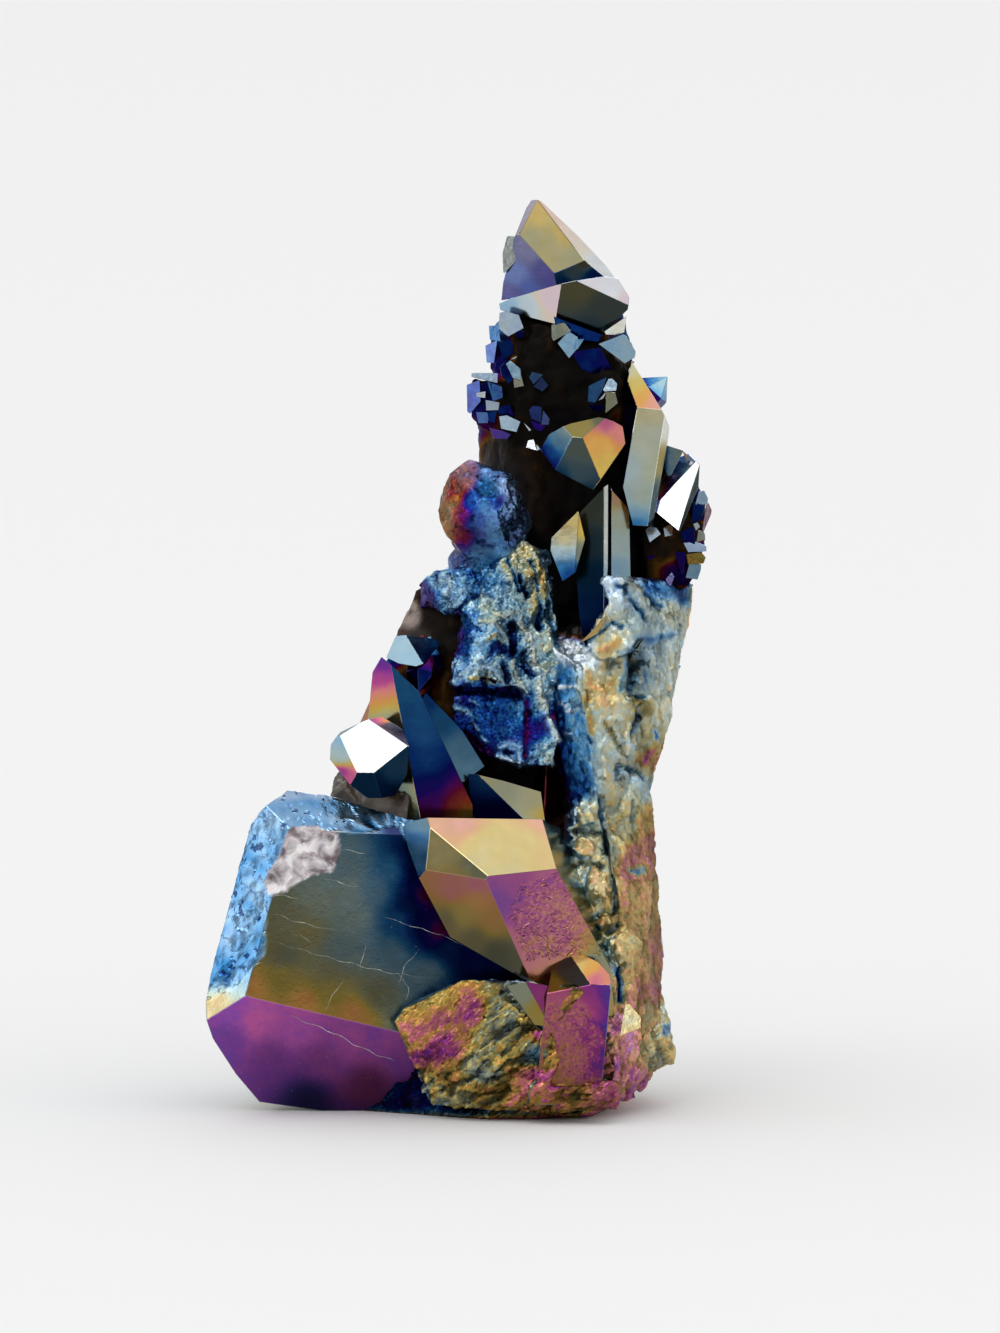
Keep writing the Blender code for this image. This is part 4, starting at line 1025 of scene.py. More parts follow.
baseCrystal = {
    "name": "baseCrystal", "first": ("front", (-12.5, 17.4), -12, 8, -4),
    "folds": [
        ("rim", "front", (-21.2, 15), (-17.8, 27.5), 34), ("belly", "front", (-8, 7.6), (-23.9, 11.4), 30),
        ("shelf", "front", (-17.6, 27.5), (-6, 27), 40),
    ],
    "rims": [
        ("rim", 25, (-26.7, 10), (-25.6, 14.1), (-24, 21.1), (-22.2, 27.5), (-21, 29.5)),
        ("belly", 25, (-12, -1), (-21, 0.3), (-23.4, 3.2), (-25.6, 6.7), (-26.7, 10)),
        ("shelf", 20, (-21, 29.5), (-18.1, 31.5), (-14.3, 31), (-6, 28.6)),
    ],
    "back": 9, "ends": (-27, 4, -6, 32), "grain": 0.29, "edge": 0.09,
    "films": {
        "front": [
            (-19, 19.5, 128, 0.19), (-15, 20.5, 122, 0.26), (-12, 24, 112, 0.21), (-11.5, 19, 118, 0.23),
            (-9.4, 21.5, 106, 0.23), (-7.8, 23.5, 96, 0.26), (-6.2, 25.5, 82, 0.12), (-5.4, 23, 74, 0.11),
            (-4.3, 21, 46, 0.15), (-2.8, 17.4, 46, 0.15), (-4.8, 18.4, 70, 0.09), (-0.4, 15, 76, 0.09),
            (-7, 18.5, 90, 0.19), (-8, 15, 108, 0.16), (-13, 15.5, 116, 0.16), (-18.5, 15, 128, 0.16),
            (-14, 13.4, 130, 0.19), (-9, 11.5, 128, 0.15), (-21.6, 11.8, 147, 0.43),
            (-16.4, 10.2, 149, 0.43), (-11.6, 9, 149, 0.41), (-18.6, 13, 138, 0.26),
            (-14, 11.6, 138, 0.26), (-4, 13, 112, 0.15), (-16, 17, 132, 0.22), (-12, 21.5, 118, 0.26),
            (-6, 20, 78, 0.09), (-2, 16, 86, 0.07),
        ],
        "rim": [
            (-22.6, 25, 99, 0.78, 0.1), (-23.6, 18, 101, 0.73, 0.1), (-24.4, 13, 106, 0.73, 0.1),
            (-25.6, 10.6, 138, 0.73, 0.25), (-21.6, 28, 98, 0.78, 0.1), (-21.6, 16, 96, 0.69),
        ],
        "belly": [
            (-23.4, 9.8, 173, 0.95, 0.04), (-21.4, 8.6, 166, 0.9, 0.04), (-17, 7.6, 169, 0.84, 0.04),
            (-12, 6.6, 169, 0.69, 0.04), (-8.8, 6.6, 175, 0.67, 0.04), (-6.6, 4.6, 181, 0.56, 0.04),
            (-15, 4.4, 171, 0.47, 0.04), (-10, 2, 177, 0.18, 0.04), (-5, 1, 183, 0.09, 0.04),
            (-20, 4.4, 173, 0.5, 0.04), (-16, 0.6, 183, 0.11, 0.04), (-24, 6.6, 175, 0.67, 0.04),
        ],
        "shelf": [
            (-18, 29, 101, 0.95, 0.25), (-14, 29.2, 109, 1, 0.4), (-10, 28, 103, 0.8, 0.3),
            (-7.4, 27.6, 79, 0.4, 0.1), (-15, 30.6, 153, 0.8, 0.8),
        ],
    },
    "tuck": 0.15,
    # the outline of the broken patch on its front, and how deep the flake went
    "flake": [
        (-17.6, 27.9), (-14.9, 27.8), (-13.2, 27.3), (-12.7, 25.6), (-13.7, 23.3), (-16.5, 22.7),
        (-18.4, 21.4), (-20, 21.1), (-20.4, 22.4),
    ],
    "flakeDepth": 0.9, "ripple": 0.07,
    # the weathered border left of the window-like front, rough and pitted
    "border": [
        (-17.7, 27.5), (-20.2, 21.6), (-20.2, 15), (-23.3, 11.7), (-27.5, 10.1), (-29, 20.4),
        (-24.5, 33.4), (-5, 33.4), (-3.4, 29.8), (-3, 25.8), (-5.8, 25.8), (-7.4, 27.8), (-9.8, 27.4),
        (-12, 27.2), (-15, 27.5),
    ],
    # where the flutes fan out from, how near and how far they reach, and their first and last bearing
    "fan": (-7.4, 26.4), "fanReach": (0.4, 5.2), "fanTurn": (62, 178),
    # the border's own relief in mm, and its film in nanometres, thicker below borderLow
    "knob": 0.07, "swell": 0.1, "pit": 0.12, "flute": 0.03, "borderFilm": 97, "borderShade": 0.78,
    "borderFoot": 9.5, "borderLow": 13,
    # healed cracks that run across the front
    "veins": [
        [(-19.6, 19.2), (-16.5, 18.2), (-12.9, 17.4)],
        [(-19.9, 16.5), (-14, 14.8), (-8.6, 13.4), (-3, 12.6)],
        [(-14.9, 22.8), (-13, 22.3), (-10.8, 21.7)], [(-8.9, 19), (-6, 18), (-3, 17.1), (0.4, 15.6)],
        [(-20, 20.9), (-18.2, 21), (-16.5, 20.5)], [(-12.7, 25.6), (-11.4, 25.3), (-10, 25.2)],
        [(-7.2, 12), (-6.2, 14.4), (-5, 15.6)], [(-17.8, 9), (-13.8, 7.4), (-10.4, 5.6), (-7.4, 4.4)],
        [(-7.4, 13.4), (-6, 11.8), (-6.4, 10.6)], [(-10.4, 16.2), (-10.9, 13.6)],
        [(-16.9, 17), (-15.8, 16.4)], [(-12.6, 12.6), (-14.4, 9.6)],
    ],
}

smallAmberCrystal = {
    "name": "smallAmberCrystal", "first": ("prism", (11, 6), -16.9, 4, -4),
    "folds": [
        ("cap", "prism", (10, 12.2), (13.9, 12.2), 48), ("shadow", "prism", (7.9, 11.4), (12, 12.2), 45),
        ("side", "prism", (13.9, 12.2), (14.4, 4), 58),
    ],
    "rims": [
        ("cap", 20, (9.8, 15.2), (11.2, 15.2), (12.8, 14.4), (13.9, 13.2), (14.1, 12)),
        ("shadow", 15, (7.8, 13.2), (9.8, 15.2)), ("side", 10, (14.6, 13.6), (14.9, 4)),
        ("prism", 6, (14.6, 1.3), (10.5, 0.4), (6.4, 0.2), (7.9, 13.6)),
    ],
    "back": -4.5,
    "films": {
        "prism": [
            (9, 8, 156, 0.52), (11, 9.6, 159, 0.52), (13.6, 11, 180, 0.57), (14, 7.6, 182, 0.52),
            (12.4, 10.6, 166, 0.52), (12.6, 7, 162, 0.48), (13.4, 4.4, 174, 0.4), (10.4, 5.4, 156, 0.42),
            (8, 4.8, 152, 0.4), (9, 2, 150, 0.34), (12.6, 2, 158, 0.31), (7, 1.4, 144, 0.34),
        ],
        "cap": [
            (10.8, 14.4, 138, 1, 0.1), (12, 13.9, 144, 1), (12.6, 12.7, 158, 0.85), (13.6, 12.8, 152, 0.9),
        ],
        "shadow": [(8.4, 12, 34, 0.24), (10, 13.6, 20, 0.08), (11.4, 12.8, 16, 0.06)],
        "side": [(14.3, 12.4, 112, 0.5, 0.1), (14.6, 8, 106, 0.45, 0.1), (14.6, 5, 96, 0.35)],
    },
    "etched": ("prism", [(15, 7.4), (12.8, 8.2), (11.4, 9.8), (6, 11), (6, 0), (15, 0)]),
}

smallWedgeCrystal = {
    "name": "smallWedgeCrystal", "first": ("magenta", (7.6, 10.6), -17, 14, 10),
    "folds": [("olive", "magenta", (7.9, 8.2), (5.6, 12.4), 36)],
    "rims": [
        ("magenta", 9, (5.7, 12.5), (9.8, 11.7), (7.9, 8.2)),
        ("olive", 12, (7.9, 8), (6.4, 8.2), (3.6, 12.1), (6.2, 12.6)),
    ],
    "back": -6,
    "films": {
        "magenta": [(7.4, 11.2, 164, 0.6), (9.2, 11.4, 180, 0.5), (8, 9.4, 160, 0.5)],
        "olive": [(5.2, 11.4, 124, 0.35), (6.8, 9.6, 138, 0.35)],
    },
}

for crystal in (crownBrow, crownSpire, amberCrystal, columnCrystal, mirrorCrystal, stripedCrystal,
                stripedMate, giltCrystal, paleBlueCrystal, bladeCrystal, secondBladeCrystal, whiteCrystal,
                oliveCrystal, smallWedgeCrystal):
    asPiece(growCrystal(crystal), crystal["name"], grownFace)


def etch(mesh, crystal):
    # the worm-eaten part of one face takes the second finish
    face, outline = crystal["etched"]
    normal = planesOf(crystal)[face][1]
    sheet = readArray(mesh.polygons, "center", 3) @ sheetAxes.T
    inside = distanceInside(outline, sheet) + 0.5 * softNoise(sheet, 1.0, 91, 2)
    onFace = readArray(mesh.polygons, "normal", 3) @ np.array(normal) > 0.99
    mesh.polygons.foreach_set("material_index", ((inside > 0) & onFace).astype(np.int32))


# vapour-coated quartz, frosted: fine grit stands on the face, so the colour sparkles in specks
frostedFace = coatedQuartz("coatedQuartzFrosted", {
    "wobble": [(1.0, 5.0, 3.0), (0.3, 9.0, 2.0)],
    "roughness": (0.26, 0.42, 0.6),
    "relief": [("chips", 0.4, 0.4, 0), ("grain", 0.25, 0.035, 3.0)],
})
for crystal, second in ((goldAndMagentaCrystal, etchedFace), (smallAmberCrystal, frostedFace)):
    mesh = growCrystal(crystal)
    etch(mesh, crystal)
    asPiece(mesh, crystal["name"], grownFace, second)
print("crystals grown")


def breakFlake(mesh, crystal):
    # the flake is struck out of the front: a shallow shell-shaped hollow with ripples, bare inside
    spots = readArray(mesh.vertices, "co", 3)
    sheet = spots @ sheetAxes.T
    point, normal = planesOf(crystal)["front"]
    onFront = np.abs((spots - np.array(point)) @ np.array(normal)) < 0.35
    wander = 0.35 * softNoise(sheet, 1.1, 5, 2)
    inside = distanceInside(crystal["flake"], sheet) + wander
    inside = np.where(onFront | (sheet[:, 2] < 0), inside, -9.0)
    depth = spread((inside + 0.05) / 0.9) * (0.75 + 0.35 * softNoise(sheet, 2.2, 9, 3))
    depth *= crystal["flakeDepth"]
    depth += (inside > 0) * crystal["ripple"] * np.sin(sheet[:, 0] * 4.6 + sheet[:, 1] * 3.1)
    depth = np.where(inside > -0.05, np.maximum(depth, 0), 0)
    spots = spots - np.array(normal) * depth[:, None]
    mesh.vertices.foreach_set("co", spots.ravel())
    writeAttributes(mesh, "CORNER", bare=perCorner(mesh, spread((inside + 0.12) / 0.24)))
    mesh.update()


def roughenBorder(mesh, crystal):
    # the border has its own rough growth: knobs, pits and a fan of flutes where the shell broke
    spots = readArray(mesh.vertices, "co", 3)
    normals = readArray(mesh.vertices, "normal", 3)
    sheet = spots @ sheetAxes.T
    inside = distanceInside(crystal["border"], sheet) + 0.3 * softNoise(sheet, 1.6, 21, 2)
    share = spread((inside + 0.1) / 0.35) * (sheet[:, 2] < 2.0)
    share *= spread((sheet[:, 1] - crystal["borderFoot"]) / 1.2)
    knobs = crystal["knob"] * chips(sheet, 1.7, 22)[0] + crystal["swell"] * softNoise(sheet, 1.1, 23, 2)
    pits = spread((softNoise(sheet, 0.6, 24, 2) - 0.4) / 0.1)
    (near, far), (first, last) = crystal["fanReach"], crystal["fanTurn"]
    across, above = (sheet[:, :2] - np.array(crystal["fan"])).T
    reach = np.hypot(across, above)
    turn = np.degrees(np.arctan2(above, across))
    fan = spread((far - reach) / 1.6) * spread((reach - near) / 0.6)
    fan *= spread((turn - first) / 12) * spread((last - turn) / 12)
    flutes = np.sin(np.radians(turn) * 17 + 0.8 * softNoise(sheet, 1.4, 25, 2))
    height = (knobs - crystal["pit"] * pits) * (1 - fan) + crystal["flute"] * fan * flutes
    height = share * (height - 0.05)
    spots = spots + normals * height[:, None]
    mesh.vertices.foreach_set("co", spots.ravel())
    tone = softNoise(sheet, 2.4, 26, 3)
    low = spread((crystal["borderLow"] - sheet[:, 1]) / 2.5)
    film = crystal["borderFilm"] + 6 * tone + 32 * low + 3 * fan * flutes - 12 * pits * (1 - fan)
    # shade drops in the pits and flute troughs and rises on the crests: painted shade and painted highlight
    shade = (crystal["borderShade"] + 0.14 * tone + 0.10 * fan * flutes) * (1 - 0.45 * pits * (1 - fan))
    # the paling rises on the flute crests as a painted highlight, and along the top edge
    milk = 0.12 + 0.2 * tone + 0.12 * fan * flutes + 0.25 * spread((sheet[:, 1] - 30.3) / 0.6)
    milk = np.clip(milk, 0, 0.8)
    blend = perCorner(mesh, share)
    for name, wanted in (("film", film / thickest), ("shade", np.clip(shade, 0, 1)), ("milk", milk)):
        layer = mesh.attributes[name].data
        mixed = readArray(layer, "value", kind=np.float32) * (1 - blend) + perCorner(mesh, wanted) * blend
        layer.foreach_set("value", mixed.astype(np.float32))
    mesh.update()


baseMesh = growCrystal(baseCrystal)
roughenBorder(baseMesh, baseCrystal)
breakFlake(baseMesh, baseCrystal)
asPiece(baseMesh, baseCrystal["name"], wornFace)


crackSizes = {"step": 0.35, "width": 0.11, "buried": 0.12, "proud": 0.05}  # mm


def laceVeins(crystal):
    # each healed crack is a low ridge that follows the faces and tapers at both ends
    planes = planesOf(crystal)
    faces = [planes["front"], planes["belly"]]
    shape = bmesh.new()
    chance = random.Random(11)
    for line in crystal["veins"]:
        walk = []
        for (x0, h0), (x1, h1) in zip(line, line[1:]):
            steps = max(2, int(math.hypot(x1 - x0, h1 - h0) / crackSizes["step"]))
            walk += [(x0 + (x1 - x0) * k / steps, h0 + (h1 - h0) * k / steps) for k in range(steps)]
        walk.append(line[-1])
        ring = []
        for number, (x, height) in enumerate(walk):
            share = number / (len(walk) - 1)
            taper = math.sin(math.pi * (0.06 + 0.88 * share))
            width = crackSizes["width"] * taper * chance.uniform(0.55, 1.2)
            x += 0.09 * math.sin(number * 0.9) + chance.uniform(-0.04, 0.04)
            height += 0.08 * math.sin(number * 0.55 + x)
            start = at(x, height, 0.0)
            lifts = [((p - start).dot(n) / away.dot(n), n) for p, n in faces]
            depth, normal = max(lifts, key=lambda item: item[0])
            foot = start + away * depth
            ahead = walk[min(number + 1, len(walk) - 1)]
            behind = walk[max(number - 1, 0)]
            along = (right * (ahead[0] - behind[0]) + up * (ahead[1] - behind[1])).normalized()
            across = normal.cross(along).normalized()
            buried = foot - normal * crackSizes["buried"]
            crest = foot + normal * crackSizes["proud"]
            corners = (buried - across * width, crest, buried + across * width)
            ring.append([shape.verts.new(corner) for corner in corners])
        for first, second in zip(ring, ring[1:]):
            for k in range(3):
                shape.faces.new((first[k], first[(k + 1) % 3], second[(k + 1) % 3], second[k]))
        shape.faces.new(ring[0])
        shape.faces.new(ring[-1][::-1])
    bmesh.ops.recalc_face_normals(shape, faces=shape.faces[:])
    return meshFrom(shape, "healedCracks")


asPiece(laceVeins(baseCrystal), "healedCracks", veinStone)
print("base crystal broken and healed")


# the rock is lumps fused into one skin, then chipped: the corners of each lump as (x, height, depth)
rockBlocks = {
    "foot": [
        (-15, -0.6, -3), (-7, -1.2, -6), (2, -1.5, -12.4), (12, -1, -12), (14, 0, -8), (16, 3.2, 2),
        (13, -2, 12), (-10, -2, 13), (-18, 1, 4), (-16, 14, 6), (-10, 20, 10), (14, 22, 10), (18, 12, 4),
        (14, 10, -10), (-14, 12, -4), (2, 16, 14), (3, 8, -13),
    ],
    "rightFoot": [
        (8, 0.5, -12), (15.5, 0.4, -9), (16.8, 2.5, -7), (20.5, 4, -3), (20.6, 6.2, -3), (18.8, 9.8, -3),
        (18.6, 13, -2), (9, 13, -12), (12, 2, 8), (19, 6, 6), (17, 14, 8), (14.7, 7.4, -13.4),
        (14.4, 1.4, -14),
    ],
    "mottledCrust": [
        (-7.6, 8.4, -12.6), (-6.6, 9.8, -12.4), (-0.6, 12.8, -14.8), (4, 12.8, -15.4), (9.6, 11.8, -14.6),
        (8, 7, -15.8), (0, 5, -15.6), (-3.2, 3.4, -13.6), (-4, 0, -11), (8, -1, -12), (8, 12, -8),
        (-7, 10, -9),
    ],
    "scalyCrust": [
        (-4.2, 1.2, -12.8), (-3, 3.6, -14.6), (-0.6, 6.4, -15.8), (3.8, 10.6, -16.6), (5.4, 8.2, -17.2),
        (7.4, 7.8, -16.4), (7.2, 3.6, -16), (0.4, -0.4, -14), (6, -0.6, -14), (4, 4, -17), (0, 1, -8),
        (7, 6, -9),
    ],
    "roughFront": [
        (7, -0.4, -14.2), (7, 7.8, -16.2), (13, 7, -15.6), (14.6, 3.4, -14), (14, 0, -12),
        (10, 8.6, -14.6), (6.6, 3.6, -16.2), (11, 0.2, -15), (14, 8, -6), (7, 8, -6),
    ],
    "topRubble": [
        (7.8, 8, -17.2), (9.2, 8.6, -17.6), (11.4, 11.6, -17.7), (10.6, 12.6, -17.5), (9.2, 12.4, -17.3),
        (7.4, 10.4, -17.2), (9, 9, -12), (11, 12, -12), (8, 12, -12),
    ],
    "seamRubble": [
        (6.6, 1.6, -16.6), (7.8, 2, -17.6), (9, 4.8, -17.7), (8.3, 7.6, -17.6), (7.2, 7.6, -17.2),
        (6.2, 5, -16.8), (8, 2, -12), (8, 7, -12),
    ],
    "crustLip": [
        (5.4, -0.4, -15.6), (6.4, 2.2, -17), (8.6, 1.5, -17.7), (11.2, 2.2, -17.7), (13.4, 1.2, -17.4),
        (15, 2.8, -16), (14.8, -0.4, -15), (9, -0.6, -16), (10, 3, -10), (6, 4, -10),
    ],
    "spine": [
        (-8, 8, 0), (16, 8, 0), (14, 12, 12), (-6, 12, 13), (-6, 30, 11), (15, 30, 11), (-7, 30, -3),
        (17, 30, -2), (-4, 44, -2), (19, 46, -1), (17, 46, 10), (-2, 44, 10), (4, 50, 11), (12, 52, 11),
    ],
    "neck": [
        (-1, 40, -2), (19, 44, -1), (17, 44, 9), (1, 40, 10), (1.2, 60, -1.5), (18.5, 62, -1), (17, 62, 8),
        (2, 60, 8), (3, 74, -0.5), (16.5, 72, 0), (14, 76, 6), (5, 79, 6), (5, 80, 0), (14, 79, 0),
        (1, 67, 1), (4.6, 58, -3.6), (16.6, 58, -3.6), (4.4, 70, -4.8), (15, 70, -4.6), (4.8, 74.6, -4.5),
        (14.6, 74.6, -4.5), (6, 78, -3.6), (13.6, 78, -3.6),
    ],
    "lowerPillar": [
        (14.4, 6.6, -12.4), (17.4, 6.4, -10.4), (19.4, 8.4, -5.4), (12.8, 9.6, -12.6), (9.9, 27, -8),
        (9.1, 23.5, -9), (11, 20, -10), (12.4, 14, -11), (15, 11, -12), (17, 9, -11), (18.6, 13, -6),
        (19.4, 16, -4), (19.2, 21.5, -4), (18.8, 25, -4), (18.4, 30, -4), (18, 32, -4), (13, 27, -9.4),
        (15, 20, -11), (13.2, 31, -8.6), (16, 32, 8), (17, 12, 8), (8, 12, 8), (8, 31, 8),
    ],
    "pillar": [
        (8.9, 33, -5.2), (10.1, 29, -6), (13.3, 27, -8.6), (12.2, 31.6, -9.2), (11.6, 37, -9),
        (11.2, 41, -8.8), (10.6, 43.5, -8.4), (7.1, 47, -5), (7.6, 41, -5), (12.6, 45.2, -8.6),
        (16, 49, -8), (20.4, 51, -5), (22.4, 51.6, -1), (21.1, 46.5, -4.6), (20, 38.5, -5.4),
        (18.2, 32, -6), (19.3, 36, -5.6), (16, 38, -9.2), (16, 29, -8.6), (21, 51, 6), (10, 48, 7),
        (10, 30, 8), (17, 30, 8),
    ],
    "stripWall": [
        (7.2, 46.4, -7.4), (11, 43.8, -9.2), (13.3, 26.9, -9.6), (10.1, 29.9, -7.6), (8.6, 36, -7.2),
        (8, 46, 4), (12, 28, 4), (13, 44, 4), (9, 30, 4),
    ],
    "collarTop": [
        (13.1, 52.5, -9.4), (15.5, 52.7, -9.6), (17.3, 51.3, -9.2), (17.6, 49.2, -9.4), (14.1, 49.7, -9.8),
        (14, 50, 4), (18, 50, 4), (16, 52, 4),
    ],
    "collarLow": [
        (14.1, 50.4, -9.6), (17.8, 50, -9.4), (17.5, 44.9, -9.8), (13, 44.4, -9.8), (11.3, 46.2, -9.4),
        (12, 46, 4), (17, 46, 4), (16, 50, 4),
    ],
    "pillarLip": [
        (12.6, 52.4, -6.2), (15.6, 52.6, -6.8), (16.6, 51.4, -7.6), (18.6, 52.2, -5.6), (20.8, 51.6, -4.4),
        (22.6, 52, 0), (21, 48, -5), (16.6, 47.6, -8.2), (12.4, 47.2, -8), (12, 50, 5), (20, 52, 5),
    ],
    "cleavedMass": [
        (3.4, 54.8, -5.8), (5.5, 56.2, -6.6), (7.7, 55, -6.6), (8.1, 50, -7.2), (8.9, 46, -7.6),
        (8.6, 34, -8.4), (5.6, 33.6, -9.4), (2.6, 34.4, -9.6), (-1.6, 38, -8.4), (-2, 44, -8.8),
        (-0.4, 49, -8.8), (3, 48, -9.4), (0.4, 53.4, -6), (3, 41.8, -10.4), (6, 42.5, -9.8), (8, 55, 4),
        (-2, 48, 4), (-2, 36, 4), (8, 34, 4),
    ],
    "cleavedLedge": [
        (-1.8, 43.6, -9.4), (3, 44, -10.6), (6.4, 44.6, -9.4), (7.6, 46, -7.8), (0.6, 47, -8.6),
        (-1.6, 41.6, -9.6), (2.4, 41.2, -10.8), (5.4, 41.8, -10), (3, 44, 0), (0, 44, 0),
    ],
    "leftLobe": [
        (-3.7, 53.4, -5.8), (-5.4, 51.8, -4.4), (-5.2, 49.4, -4), (-1.2, 49.4, -8.4), (-0.2, 48.8, -8.2),
        (0.6, 52.4, -7.4), (0.2, 54.2, -5.4), (-2.6, 50.6, -7.8), (0, 50, 3), (-4, 49, 3), (-3, 53, 3),
    ],
    "leftRecess": [
        (-5.5, 51.6, -2.6), (-2, 52.4, -4.6), (-4, 52, 4), (-6.4, 48.4, -3), (-6.6, 47, -3.6),
        (-8.4, 44.6, -3.8), (-9.6, 42.6, -4), (-9.8, 36, -4.6), (-5, 36, -6.4), (-0.6, 40, -7.2),
        (-0.2, 48, -6.8), (-7, 40, 7), (-2, 48, 6), (-2, 30, 8), (-9, 32, 5), (-3, 33, -6.2),
    ],
    "smokyQuartz": [
        (-13.7, 32.6, -7.4), (-14.2, 30.1, -7.8), (-13, 27, -8.4), (-6.6, 26.6, -10.2), (-6, 31, -9.6),
        (-8, 34, -7), (-12, 35, -5), (-13, 28, 3), (-5, 28, 5), (-6, 36, 3), (-11, 35, 2),
    ],
    "edgeLump": [
        (18.6, 65.7, -3), (20.9, 64.9, -3.2), (22.2, 63, -3), (23, 61, -2.8), (23.7, 59.6, -2.4),
        (23.3, 57.6, -3.8), (23, 55.4, -4.2), (22.8, 53.4, -4.4), (22, 51.4, -4.4), (17.6, 51, -4.6),
        (16.6, 58, -4.6), (17.4, 64, -3.6), (21, 58, -4.6), (18, 64, 6), (22, 62, 4), (22.8, 54, 4),
        (17, 52, 6),
    ],
    "leftLump": [
        (0, 72.6, -3), (2.4, 72.9, -3.6), (-0.1, 69, -3.2), (0.7, 67.8, -3.6), (2.4, 66.6, -3.8),
        (6, 66.6, -4.6), (6.6, 72, -4.4), (1.4, 72, 3), (1.6, 67.6, 3), (6, 70, 4),
    ],
    "upperLump": [
        (3, 78.4, -1.4), (4.8, 78.6, -2.4), (2, 77.2, -2), (1.8, 75.6, -2), (2.1, 73.4, -2),
        (4.4, 73.6, -3.4), (5.6, 77, -3.4), (4, 78.4, 3), (3.4, 74, 3),
    ],
    "backSlope": [
        (-19, 3, 6), (-12, -1, 14), (3, -2, 16), (13, 0, 13), (17, 8, 9), (12, 22, 12), (-2, 26, 12),
        (-12, 20, 10), (-19, 16, 6), (-20, 10, 4), (6, 12, 16.5), (-8, 10, 15.5),
    ],
    "crownRoot": [
        (3, 76.5, -1), (5.4, 78, -0.8), (13.4, 77.2, -1.6), (15.6, 79.4, 0), (13, 84, 3), (6, 84, 3),
        (5, 74, 6), (14, 74, 6), (2.4, 73, 0), (16.8, 74, -0.5), (4, 72, -1.6), (14.6, 73.4, -2),
        (6.4, 82.5, 8.6), (11.6, 82.5, 8.8), (6, 76, 8), (13, 76, 8), (9, 86, 6),
    ],
}


def boulderCorners(centre, reach, count, seed, lean):
    # corners spread over an egg, pushed in or out
    chance = random.Random(seed)
    golden = math.pi * (3 - math.sqrt(5))
    corners = []
    for number in range(count):
        height = 1 - 2 * (number + 0.5) / count
        ring = math.sqrt(1 - height * height)
        turn = golden * number + seed
        size = chance.uniform(0.9, 1.06)
        x, rise, depth = np.array((ring * math.cos(turn), height, ring * math.sin(turn))) * reach
        corners.append(tuple(centre + np.array((x + lean * rise, rise, depth)) * size))
    return corners


# a string of blunt golden crystals down the side of the pillar: x, height, depth, half width, half height
goldLumpDepth = 1.7
goldLumps = [
    (11.5, 28.9, -8.6, 1.7, 1.5), (11.2, 25.8, -9.2, 1.6, 1.5), (12.8, 21.8, -10.2, 1.5, 2.3),
    (13.2, 18.4, -11.0, 1.3, 1.2), (15.2, 15.4, -11.6, 2.3, 2.5), (10.4, 27.4, -8.2, 1.2, 1.0),
]
for number, (x, height, depth, halfWidth, halfHeight) in enumerate(goldLumps):
    rockBlocks[f"goldLump{number}"] = boulderCorners(
        (x, height, depth), (halfWidth, halfHeight, goldLumpDepth), 11, 20 + number, 0.0)
rockBlocks["bulb"] = boulderCorners((1.3, 58.9, -4.4), (4.7, 6.0, 4.4), 40, 4, -0.12)
rockBlocks["bulbRoot"] = boulderCorners((1.6, 53.8, -3.0), (4.2, 3.6, 4.0), 20, 5, 0.0)


def hullInto(shape, corners):
    # adds the hull of these corners to a mesh that is being built
    lump = hullOf(corners)
    bmesh.ops.recalc_face_normals(lump, faces=lump.faces[:])
    mesh = meshFrom(lump, "lump")
    shape.from_mesh(mesh)
    bpy.data.meshes.remove(mesh)


def fused(name, shape, voxel):
    # one closed skin around overlapping lumps
    mesh = meshFrom(shape, name)
    lump = bpy.data.objects.new(name, mesh)
    bpy.context.scene.collection.objects.link(lump)
    skin = lump.modifiers.new("skin", "REMESH")
    skin.mode = "VOXEL"
    skin.voxel_size = voxel
    skin.use_smooth_shade = True
    bpy.context.view_layer.update()
    made = bpy.data.meshes.new_from_object(lump.evaluated_get(bpy.context.evaluated_depsgraph_get()))
    bpy.data.objects.remove(lump)
    return made


def turned(sheet, angle, stretch):
    # sheet coordinates turned on the sheet and squeezed, so that a pattern runs one way
    angle = math.radians(angle)
    x = sheet[:, 0] * math.cos(angle) + sheet[:, 1] * math.sin(angle)
    height = -sheet[:, 0] * math.sin(angle) + sheet[:, 1] * math.cos(angle)
    return np.stack([x * stretch[0], height * stretch[1], sheet[:, 2] * stretch[2]], axis=1)


# what all the rocks share. Sizes in mm, films in nanometres
weather = {
    "brushCore": 0.62, "fadeBack": 4.0, "cloudSize": 7.0, "cloudFilm": 26, "dullSize": 5.0, "dullShade": 0.5,
    "mottleSize": 2.6, "openSky": 1.3, "recessShadePaint": 0.75, "chipRim": 0.12, "restLeft": 0.25, "wander": 0.16,
    "groundBand": 1.2,
}
farEnd = thickest - 4  # the rocks keep clear of the end of the colour list


